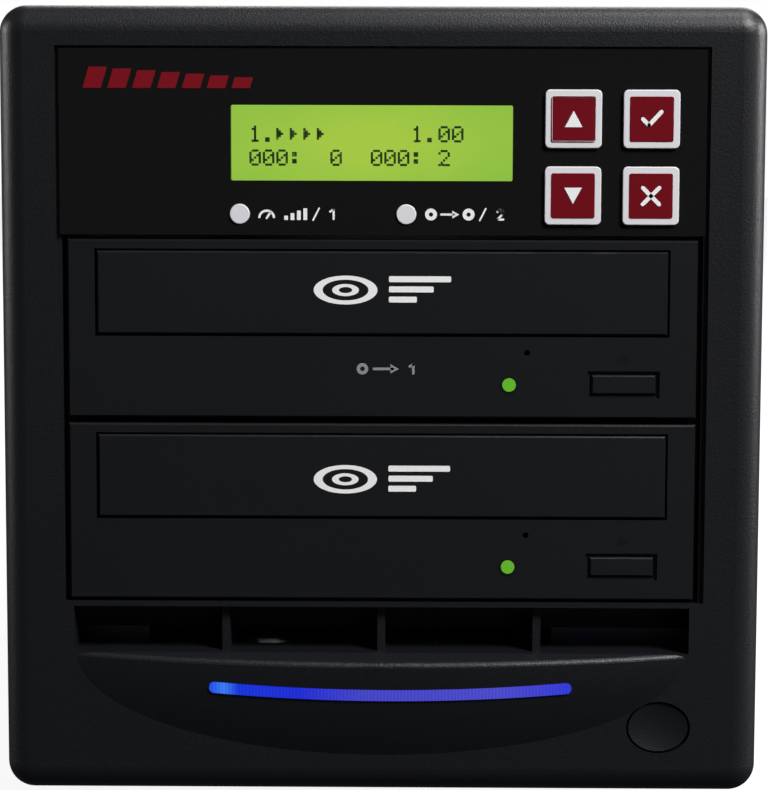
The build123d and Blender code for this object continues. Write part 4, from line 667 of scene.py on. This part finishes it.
@dataclass
class KeyFaces:
    """Red fields and white symbols on the four square keys."""

    field_w: float = 10.2
    field_h: float = 10.5
    field_round: float = 0.5
    field_thick: float = 0.12
    symbol_thick: float = 0.10
    arrow_half_w: float = 2.05
    arrow_half_h: float = 1.9
    stroke: float = 0.95
    cross_half: float = 1.9
    symbols: dict[str, Symbol] = field(default_factory=lambda: {
        "key_up": Symbol.UP, "key_down": Symbol.DOWN, "key_enter": Symbol.TICK, "key_escape": Symbol.CROSS})

    def build(self, red: Material, white: Material) -> None:
        """Make both layers on every key.

        Args:
            red: finish of the field.
            white: finish of the symbol.
        """
        for key, symbol in self.symbols.items():
            low, high = corners(key)
            x, z, y = (low.x + high.x) / 2, (low.z + high.z) / 2, low.y
            half_w, half_h = self.field_w * MM / 2, self.field_h * MM / 2
            front = y - self.field_thick * MM
            face = Bench.plate((x - half_w, x + half_w), (front, y + 0.2 * MM), (z - half_h, z + half_h),
                               self.field_round, 0.05)
            Bench.settle(face, f"{key}_red_field", red, key)
            mark = self.symbol(symbol, x, z, (front - self.symbol_thick * MM, front + 0.05 * MM))
            Bench.settle(mark, f"{key}_symbol", white, key)

    def symbol(self, kind: Symbol, x: float, z: float, y: Span) -> Piece:
        """One symbol, centred on its key.

        Args:
            kind: which symbol.
            x: middle.
            z: middle.
            y: front and back of the print.
        Returns:
            The object.
        """
        if kind in (Symbol.UP, Symbol.DOWN):
            turn = 1 if kind is Symbol.UP else -1
            w, h = self.arrow_half_w * MM, self.arrow_half_h * MM * turn
            return Bench.prism([(x - w, z - h), (x + w, z - h), (x, z + h)], y)
        half, stroke = self.cross_half * MM, self.stroke * MM
        if kind is Symbol.CROSS:
            return Bench.join([self.bar((x - half, z - half * turn), (x + half, z + half * turn), stroke, y)
                               for turn in (1, -1)])
        knee = (x - half * 0.35, z - half * 0.75)
        short = self.bar((x - half * 1.1, z), knee, stroke, y)
        long = self.bar(knee, (x + half * 1.15, z + half * 0.9), stroke, y)
        return Bench.join([short, long])

    @staticmethod
    def bar(start: tuple[float, float], end: tuple[float, float], width: float,
            y: Span) -> Piece:
        """A straight stroke with round ends from start to end."""
        dx, dz = end[0] - start[0], end[1] - start[1]
        angle = math.degrees(math.atan2(dz, dx))
        outline = arc_points(*end, width / 2, angle - 90, angle + 90, 8)
        outline += arc_points(*start, width / 2, angle + 90, angle + 270, 8)
        return Bench.prism(outline, y)


GLYPHS = {  # dot rows from the top, 1 for a dark dot
    "0": "01110 10001 10011 10101 11001 10001 01110",
    "1": "00100 01100 00100 00100 00100 00100 01110",
    "2": "01110 10001 00001 00010 00100 01000 11111",
    ".": "00000 00000 00000 00000 00000 01100 01100",
    ":": "00000 01100 01100 00000 01100 01100 00000",
    ">": "00000 10000 11000 11100 11000 10000 00000",
    " ": "00000 00000 00000 00000 00000 00000 00000",
}


@dataclass
class DisplayDots:
    """Dark dots of a two-row, sixteen-place dot display, showing plain figures."""

    rows: tuple[str, str] = ("1.>>>>      1.00", "000:  0  000: 2 ")
    left: float = 4.0         # first place from the window's left edge
    top: float = 4.55         # first row from the window's upper edge
    place_pitch: float = 3.16
    row_pitch: float = 5.55
    dot_pitch: float = 0.545
    dot: float = 0.545
    thick: float = 0.03
    lift: float = 0.02        # dots in front of the glass

    def build(self, ink: Material) -> None:
        """Make all dots as one piece that lies on the display's glass.

        Args:
            ink: finish of the dots.
        """
        low, high = corners("display_window")
        front = high.y - self.lift * MM
        Bench.clear()
        bpy.ops.mesh.primitive_plane_add(size=1.0)
        piece = bpy.context.object
        work = bmesh.new()
        for row, words in enumerate(self.rows):
            for place, letter in enumerate(words):
                for line, bits in enumerate(GLYPHS[letter].split()):
                    for column, bit in enumerate(bits):
                        if bit == "1":
                            x = low.x + (self.left + place * self.place_pitch + column * self.dot_pitch) * MM
                            z = high.z - (self.top + row * self.row_pitch + line * self.dot_pitch) * MM
                            self.add_dot(work, x, front, z)
        work.to_mesh(piece.data)
        work.free()
        Bench.settle(piece, "display_dots", ink, "tower")

    def add_dot(self, work: bmesh.types.BMesh, x: float, y: float, z: float) -> None:
        """Add one dot as a thin square block with its front at y."""
        size, depth = self.dot * MM, self.thick * MM
        box = [work.verts.new((x + dx * size, y - dy * depth, z - dz * size))
               for dy in (0, 1) for dx in (0, 1) for dz in (0, 1)]
        for loop in ((0, 1, 3, 2), (4, 6, 7, 5), (0, 4, 5, 1), (2, 3, 7, 6), (0, 2, 6, 4), (1, 5, 7, 3)):
            work.faces.new([box[index] for index in loop])
        bmesh.ops.recalc_face_normals(work, faces=work.faces)


def figure(number: str, x: float, z: float, high: float, width: float, y: Span) -> list[Piece]:
    """A plain figure 1 or 2 drawn in strokes, centred at (x, z).

    Args:
        number: "1" or "2".
        x: middle.
        z: middle.
        high: its height.
        width: width of a stroke.
        y: front and back of the print.
    Returns:
        Its strokes.
    """
    half = (high - width) / 2
    if number == "1":
        return [KeyFaces.bar((x, z - half), (x, z + half), width, y),
                KeyFaces.bar((x - 0.3 * high, z + 0.22 * high), (x, z + half), width, y)]
    bend = high * 0.24
    path = arc_points(x, z + half - bend, bend, 165, -35, 8)
    path += [(x - bend, z - half), (x + bend * 1.1, z - half)]
    return [KeyFaces.bar(path[step], path[step + 1], width, y) for step in range(len(path) - 1)]


@dataclass
class PanelPrint:
    """White marks beside the round keys and a plain red stripe where a name would be."""

    figure_h: float = 2.75
    stroke: float = 0.5
    thick: float = 0.08
    stripe_w: float = 40.6
    stripe_left: float = 5.6      # from the panel's left edge
    stripe_z: float = 36.6        # above the panel's lower edge
    blocks: int = 7
    block_w: float = 4.3
    block_h: float = 4.9
    fall: float = 0.08            # each block lower than the one before by this share
    lean: float = 1.5
    slash_x: Span = (17.2, 18.6)  # foot and head of the slash, from the key's middle
    slash_w: float = 0.4
    figure_x: float = 22.0
    dial_x: float = 6.3
    dial_r: Span = (2.0, 1.45)
    dial_drop: float = 0.95
    needle: Span = (0.8, 1.2)
    level_w: float = 0.9
    levels: tuple[Span, ...] = ((10.4, 1.0), (11.9, 1.6), (13.4, 2.2), (14.9, 2.75))
    discs_x: Span = (5.8, 14.6)
    disc_r: Span = (1.4, 0.5)
    shaft_x: Span = (8.2, 11.2)
    head_x: Span = (10.8, 12.4)
    head_half: float = 0.9

    def build(self, white: Material, red: Material) -> None:
        """Make the marks.

        Args:
            white: ink of the marks by the round keys.
            red: ink of the stripe.
        """
        low, _ = corners("control_panel")
        y = (low.y - self.thick * MM, low.y + 0.03 * MM)
        self.stripe(low, y, red)
        for key, number, mark in (("key_speed", "1", self.speed), ("key_source", "2", self.source)):
            key_low, key_high = corners(key)
            x, z = (key_low.x + key_high.x) / 2, (key_low.z + key_high.z) / 2
            reach = self.figure_h * MM / 2
            foot, head = (x + at * MM for at in self.slash_x)
            slash = KeyFaces.bar((foot, z - reach), (head, z + reach), self.slash_w * MM, y)
            digit = figure(number, x + self.figure_x * MM, z, self.figure_h * MM, self.stroke * MM, y)
            piece = Bench.join([*mark(x, z, y), slash, *digit])
            Bench.settle(piece, f"{key}_print", white, "tower")

    def stripe(self, low: Vector, y: Span, red: Material) -> None:
        """A row of leaning blocks that tapers from left to right."""
        left = low.x + self.stripe_left * MM
        foot = low.z + (self.stripe_z - self.block_h / 2) * MM
        pitch = (self.stripe_w - self.block_w - self.lean) / (self.blocks - 1)
        bars = []
        for number in range(self.blocks):
            x = left + number * pitch * MM
            share = 1 - self.fall * number
            high, lean, w = self.block_h * share * MM, self.lean * share * MM, self.block_w * MM
            head = foot + high
            bars.append(Bench.prism([(x, foot), (x + w, foot), (x + w + lean, head), (x + lean, head)], y))
        Bench.settle(Bench.join(bars), "panel_red_stripe", red, "tower")

    def speed(self, x: float, z: float, y: Span) -> list[Piece]:
        """A small dial, and four bars that rise."""
        outer, inner = (radius * MM for radius in self.dial_r)
        base, middle = z - self.dial_drop * MM, x + self.dial_x * MM
        arch = arc_points(middle, base, outer, 0, 180, 16) + arc_points(middle, base, inner, 180, 0, 16)
        tip = (middle + self.needle[0] * MM, base + self.needle[1] * MM)
        needle = KeyFaces.bar((middle, base), tip, self.stroke * MM, y)
        foot = z - self.figure_h * MM / 2
        bars = [Bench.plate((x + left * MM, x + (left + self.level_w) * MM), y, (foot, foot + high * MM), 0.1)
                for left, high in self.levels]
        return [Bench.prism(arch, y), needle, *bars]

    def source(self, x: float, z: float, y: Span) -> list[Piece]:
        """Two small discs with an arrow from the first to the second."""
        discs = [Bench.ring(x + at * MM, z, y, *self.disc_r) for at in self.discs_x]
        start, end = (x + at * MM for at in self.shaft_x)
        back, tip = (x + at * MM for at in self.head_x)
        shaft = KeyFaces.bar((start, z), (end, z), self.stroke * MM, y)
        half = self.head_half * MM
        return [*discs, shaft, Bench.prism([(back, z - half), (tip, z), (back, z + half)], y)]


# ---- drives -------------------------------------------------------------------------------
DOOR_MARKS = (("source", 30.2), ("target", 28.8))   # height of each door's mark above its drive's lower edge


@dataclass
class DriveMarks:
    """Plain marks on a drive: a disc pictogram on the door, an eject sign and a dark lamp ring of painted
    shade.
    """

    drive: str
    disc_w: float = 15.0
    disc_h: float = 6.8
    disc_x: float = -8.6
    hub: float = 0.42             # inner oval as a share of the outer one
    bar_x: float = 1.6
    bar_w: float = 14.6
    bar_h: float = 1.4
    bar_step: float = 2.4
    bar_low: float = 1.9          # uppermost bar's lower edge above the mark's middle
    bar_shares: Place = (1.0, 0.72, 0.45)
    thick: float = 0.06
    eject_x: float = 57.0
    eject_z: float = 14.4
    lamp_x: float = 30.0
    lamp_z: float = 7.9
    mark_z: float = 30.2
    sign_half: float = 1.3
    lamp_ring: Span = (2.15, 1.62)

    def build(self, white: Material, faint: Material, dark: Material) -> None:
        """Make the marks.

        Args:
            white: ink of the pictogram.
            faint: ink of the eject sign.
            dark: painted shade of the ring round the lamp.
        """
        door_low, _ = corners(f"{self.drive}_tray_door")
        low, _ = corners(f"{self.drive}_drive_bezel")
        y = (door_low.y - self.thick * MM, door_low.y + 0.05 * MM)
        z = low.z + self.mark_z * MM
        strokes = []
        for number, share in enumerate(self.bar_shares):
            foot = self.bar_low - number * self.bar_step
            strokes.append(Bench.plate((self.bar_x * MM, (self.bar_x + self.bar_w * share) * MM), y,
                                       (z + foot * MM, z + (foot + self.bar_h) * MM), 0.3))
        piece = Bench.join([*self.oval_ring(self.disc_x * MM, z, y), *strokes])
        Bench.settle(piece, f"{self.drive}_door_mark", white, f"{self.drive}_tray")
        face = (low.y - 0.04 * MM, low.y + 0.05 * MM)
        x, sign_z = self.eject_x * MM, low.z + self.eject_z * MM
        half = self.sign_half * MM
        base = sign_z - 0.2 * MM
        arrow = Bench.prism([(x - half, base), (x + half, base), (x, sign_z + 1.0 * MM)], face)
        under = Bench.plate((x - half, x + half), face, (sign_z - 0.95 * MM, sign_z - 0.55 * MM), 0.05)
        sign = Bench.join([arrow, under])
        Bench.settle(sign, f"{self.drive}_eject_sign", faint, "tower")
        # the dark ring round the lamp is painted shade
        ring = Bench.ring(self.lamp_x * MM, low.z + self.lamp_z * MM, (low.y - 0.1 * MM, low.y + 0.2 * MM),
                          *self.lamp_ring)
        Bench.settle(ring, f"{self.drive}_lamp_ring", dark, "tower")

    def oval_ring(self, x: float, z: float, y: Span) -> list[Piece]:
        """A disc seen from the side: an oval ring round a smaller oval."""
        parts = []
        for share, hole in ((1.0, 0.72), (self.hub, 0.5)):
            ring = Bench.ring(0.0, 0.0, (0.0, y[1] - y[0]), 1.0, hole)
            ring.scale = (self.disc_w * share / 2, 1.0, self.disc_h * share / 2)
            ring.location = (x, y[0], z)
            parts.append(ring)
        return parts


@dataclass
class SourceSign:
    """Grey disc, arrow and figure on the upper drive, where the photographed one says what it is for."""

    high: float = 2.7
    stroke: float = 0.62
    middle: float = 1.0
    z: float = 11.6
    disc_x: float = -5.6
    disc_hole: float = 0.55
    shaft_x: Span = (-2.9, 1.6)
    head_x: Span = (1.0, 3.0)
    head_half: float = 1.1
    figure_x: float = 6.4

    def build(self, grey: Material) -> None:
        """Make the sign in grey ink."""
        low, _ = corners("source_drive_bezel")
        x, z = self.middle * MM, low.z + self.z * MM
        y = (low.y - 0.06 * MM, low.y + 0.05 * MM)
        width = self.stroke * MM
        disc = Bench.ring(x + self.disc_x * MM, z, y, self.high / 2, self.disc_hole)
        start, end = (x + at * MM for at in self.shaft_x)
        shaft = KeyFaces.bar((start, z), (end, z), width, y)
        back, tip = (x + at * MM for at in self.head_x)
        half = self.head_half * MM
        head = Bench.prism([(back, z - half), (tip, z), (back, z + half)], y)
        digit = figure("1", x + self.figure_x * MM, z, self.high * MM, width, y)
        piece = Bench.join([disc, shaft, head, *digit])
        Bench.settle(piece, "source_sign", grey, "tower")


# ---- rear ---------------------------------------------------------------------------------
@dataclass
class ScrewSlots:
    """Cross recesses in the rear screw heads, drawn as flat dark sheets of painted shade, and knurled collars
    round the thumbscrews.
    """

    arm: float = 1.5
    width: float = 0.6
    ridges: int = 36
    collar_r: float = 5.0
    ridge: float = 0.22
    thumb_r: float = 4.0      # heads wider than this are thumbscrews

    def build(self, dark: Material, bright: Material) -> None:
        """Make the painted-shade recesses and the collars from the heads' own places.

        Args:
            dark: finish of a recess's shadowed floor.
            bright: finish of a collar.
        """
        mesh = frame["nodes"]["machine_screws"].data
        heads = self.heads(mesh)
        slots = []
        for x, y, z, _ in heads:
            arm, half = self.arm * MM, self.width * MM / 2
            span = (y - 0.02 * MM, y + 0.03 * MM)
            # each arm is a flat dark sheet lying on the head: painted shade of the recess, not a cut
            slots.append(Bench.plate((x - arm, x + arm), span, (z - half, z + half), 0.1))
            slots.append(Bench.plate((x - half, x + half), span, (z - arm, z + arm), 0.1))
        if slots:
            Bench.settle(Bench.join(slots), "screw_recess_painted_shade", dark, "tower")
        collars = [self.collar(x, y, z) for x, y, z, radius in heads if radius > self.thumb_r * MM]
        if collars:
            Bench.settle(Bench.join(collars), "thumbscrew_collars", bright, "tower")

    @staticmethod
    def heads(mesh: bpy.types.Mesh) -> list[tuple[float, float, float, float]]:
        """Middle and radius of every screw head that faces the rear.

        Args:
            mesh: mesh of all screws.
        Returns:
            (x, rear face, z, radius) of each.
        """
        work = bmesh.new()
        work.from_mesh(mesh)
        bmesh.ops.remove_doubles(work, verts=work.verts, dist=1e-6)
        seen, found = set(), []
        for start in work.verts:
            if start in seen:
                continue
            island, stack = [], [start]
            seen.add(start)
            while stack:
                vert = stack.pop()
                island.append(vert.co.copy())
                for edge in vert.link_edges:
                    other = edge.other_vert(vert)
                    if other not in seen:
                        seen.add(other)
                        stack.append(other)
            far = max(co.y for co in island)
            rim = [co for co in island if abs(co.y - far) < 1e-6]
            spread_x = max(co.x for co in rim) - min(co.x for co in rim)
            spread_z = max(co.z for co in rim) - min(co.z for co in rim)
            if abs(spread_x - spread_z) < 0.5 * MM and spread_x > 5 * MM and far > 0:
                x = (max(co.x for co in rim) + min(co.x for co in rim)) / 2
                z = (max(co.z for co in rim) + min(co.z for co in rim)) / 2
                found.append((x, far, z, spread_x / 2))
        work.free()
        return found

    def collar(self, x: float, y: float, z: float) -> Piece:
        """A knurled collar round one thumbscrew head."""
        outer = []
        for number in range(self.ridges * 2):
            radius = (self.collar_r + (self.ridge if number % 2 else 0.02)) * MM
            angle = math.pi * number / self.ridges
            outer.append((x + radius * math.cos(angle), z + radius * math.sin(angle)))
        return Bench.prism(outer, (y - 5.4 * MM, y - 0.6 * MM))


# ---- studio -------------------------------------------------------------------------------
@dataclass
class Studio:
    """Pale floor, soft lights, and the camera at the photograph's place."""

    camera_from_face: Place = (6.15, -620.0, 164.4)   # x, y from the bezel's face, z from its lower edge
    yaw: float = -0.0089
    pitch: float = 0.1099
    roll: float = 0.0028
    lens_px: float = 2645.4
    frame_h: int = 790
    frame_w: int = 769
    sensor: float = 36.0
    face_y: float = -166.75
    bezel_z: float = 2.5

    def camera(self) -> None:
        """Set the camera."""
        data = bpy.data.cameras.new("camera")
        data.sensor_width = self.sensor
        data.lens = self.lens_px * self.sensor / max(self.frame_h, self.frame_w)
        data.clip_end = 50.0
        camera = bpy.data.objects.new("camera", data)
        bpy.context.scene.collection.objects.link(camera)
        x, y, z = self.camera_from_face
        camera.location = (x * MM, (self.face_y + y) * MM, (self.bezel_z + z) * MM)
        level = math.cos(self.pitch)
        forward = Vector((math.sin(self.yaw) * level, math.cos(self.yaw) * level, -math.sin(self.pitch)))
        turn = forward.to_track_quat("-Z", "Y").to_matrix().to_4x4()
        camera.rotation_euler = (turn @ Euler((0, 0, self.roll)).to_matrix().to_4x4()).to_euler()
        bpy.context.scene.camera = camera

    def floor(self) -> None:
        """Lay the pale floor."""
        Bench.clear()
        bpy.ops.mesh.primitive_plane_add(size=8.0, location=(0, 0, 0))
        floor = bpy.context.object
        floor.name = "studio_floor"
        material, tree = fresh("studio_paper_white")
        settings = {"Scale": 40.0}
        fibre = add_node(tree, "ShaderNodeTexNoise", settings, {"Vector": object_place(tree)})
        skin(tree, {"Roughness": 0.9, "Emission Color": (1, 1, 1, 1), "Emission Strength": 0.9,
                    "Specular IOR Level": 0.1},
             {"Base Color": mixed(tree, linear("#60646A"), linear("#6A6E74"), fibre.outputs["Fac"])})
        floor.data.materials.append(material)
        floor.visible_glossy = False
        floor.visible_diffuse = False

    def lights(self) -> None:
        """Hang the soft lights."""
        self.area("key_light", (1.1, -1.3, 1.5), (0.0, -0.1, 0.1), 0.6, 66.0)
        self.area("top_light", (0.35, -0.15, 1.1), (0.0, -0.05, 0.1), 0.4, 6.0)
        self.area("left_light", (-1.5, 0.05, 0.4), (0.0, -0.1, 0.1), 0.5, 9.0)
        self.area("right_light", (1.5, 0.1, 0.5), (0.0, -0.1, 0.1), 0.5, 22.0)
        self.area("back_light", (0.2, 1.6, 1.0), (0.0, 0.1, 0.1), 1.2, 16.0)

    @staticmethod
    def area(name: str, at: Place, to: Place, size: float, power: float) -> None:
        """Hang one square light that looks at a place.

        Args:
            name: name of the light.
            at: where it hangs.
            to: where it looks.
            size: width in metres.
            power: watts.
        """
        data = bpy.data.lights.new(name, "AREA")
        data.size, data.energy = size, power
        light = bpy.data.objects.new(name, data)
        bpy.context.scene.collection.objects.link(light)
        light.location = at
        light.rotation_euler = (Vector(to) - Vector(at)).to_track_quat("-Z", "Y").to_euler()

    @staticmethod
    def world() -> None:
        """White surroundings behind the tower, and a dim even fill on it."""
        world = bpy.data.worlds.new("studio")
        bpy.context.scene.world = world
        world.use_nodes = True
        tree = world.node_tree
        tree.nodes.clear()
        path = add_node(tree, "ShaderNodeLightPath")
        seen = add_node(tree, "ShaderNodeBackground", {"Color": (1, 1, 1, 1), "Strength": 1.0})
        fill = add_node(tree, "ShaderNodeBackground", {"Color": (0.9, 0.94, 1.0, 1), "Strength": 0.05})
        mix = add_node(tree, "ShaderNodeMixShader", {},
                       {0: path.outputs["Is Camera Ray"], 1: fill.outputs[0], 2: seen.outputs[0]})
        add_node(tree, "ShaderNodeOutputWorld", {}, {"Surface": mix.outputs[0]})
        bpy.context.scene.view_settings.view_transform = "Standard"

    def build(self) -> None:
        """Set camera, world, lights and floor."""
        self.camera()
        self.world()
        self.lights()
        self.floor()


def main() -> None:
    """Dress the tower, add its fine pieces and set the studio."""
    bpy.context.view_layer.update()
    Studio().build()
    wardrobe = Wardrobe()
    wardrobe.make()
    wardrobe.dress()
    white = PrintInk("ink_white_screen_printed", "#F2F2F2", 0.5).build()
    red_field = PrintInk("ink_red_key_field", "#6E0B18", 0.35).build()
    red_stripe = PrintInk("ink_red_screen_printed", "#7A0F1C", 0.4).build()
    grey = PrintInk("ink_grey_tampo", "#8C8E92", 0.5).build()
    faint = PrintInk("ABS_black_embossed", "#0C0D0E", 0.5).build()
    # painted shade, for the screw recesses and the rings round the drive lamps
    dark = PrintInk("shadowed_recess", "#0A0A0B", 0.6).build()
    dots = PrintInk("display_dots_dark_green", "#1F3510", 0.6).build()
    KeyFaces().build(red_field, white)
    DisplayDots().build(dots)
    PanelPrint().build(white, red_stripe)
    for drive, mark_z in DOOR_MARKS:
        DriveMarks(drive, mark_z=mark_z).build(white, faint, dark)
    SourceSign().build(grey)
    ScrewSlots().build(dark, wardrobe[Finish.SCREW])


if __name__ == "__main__":
    main()
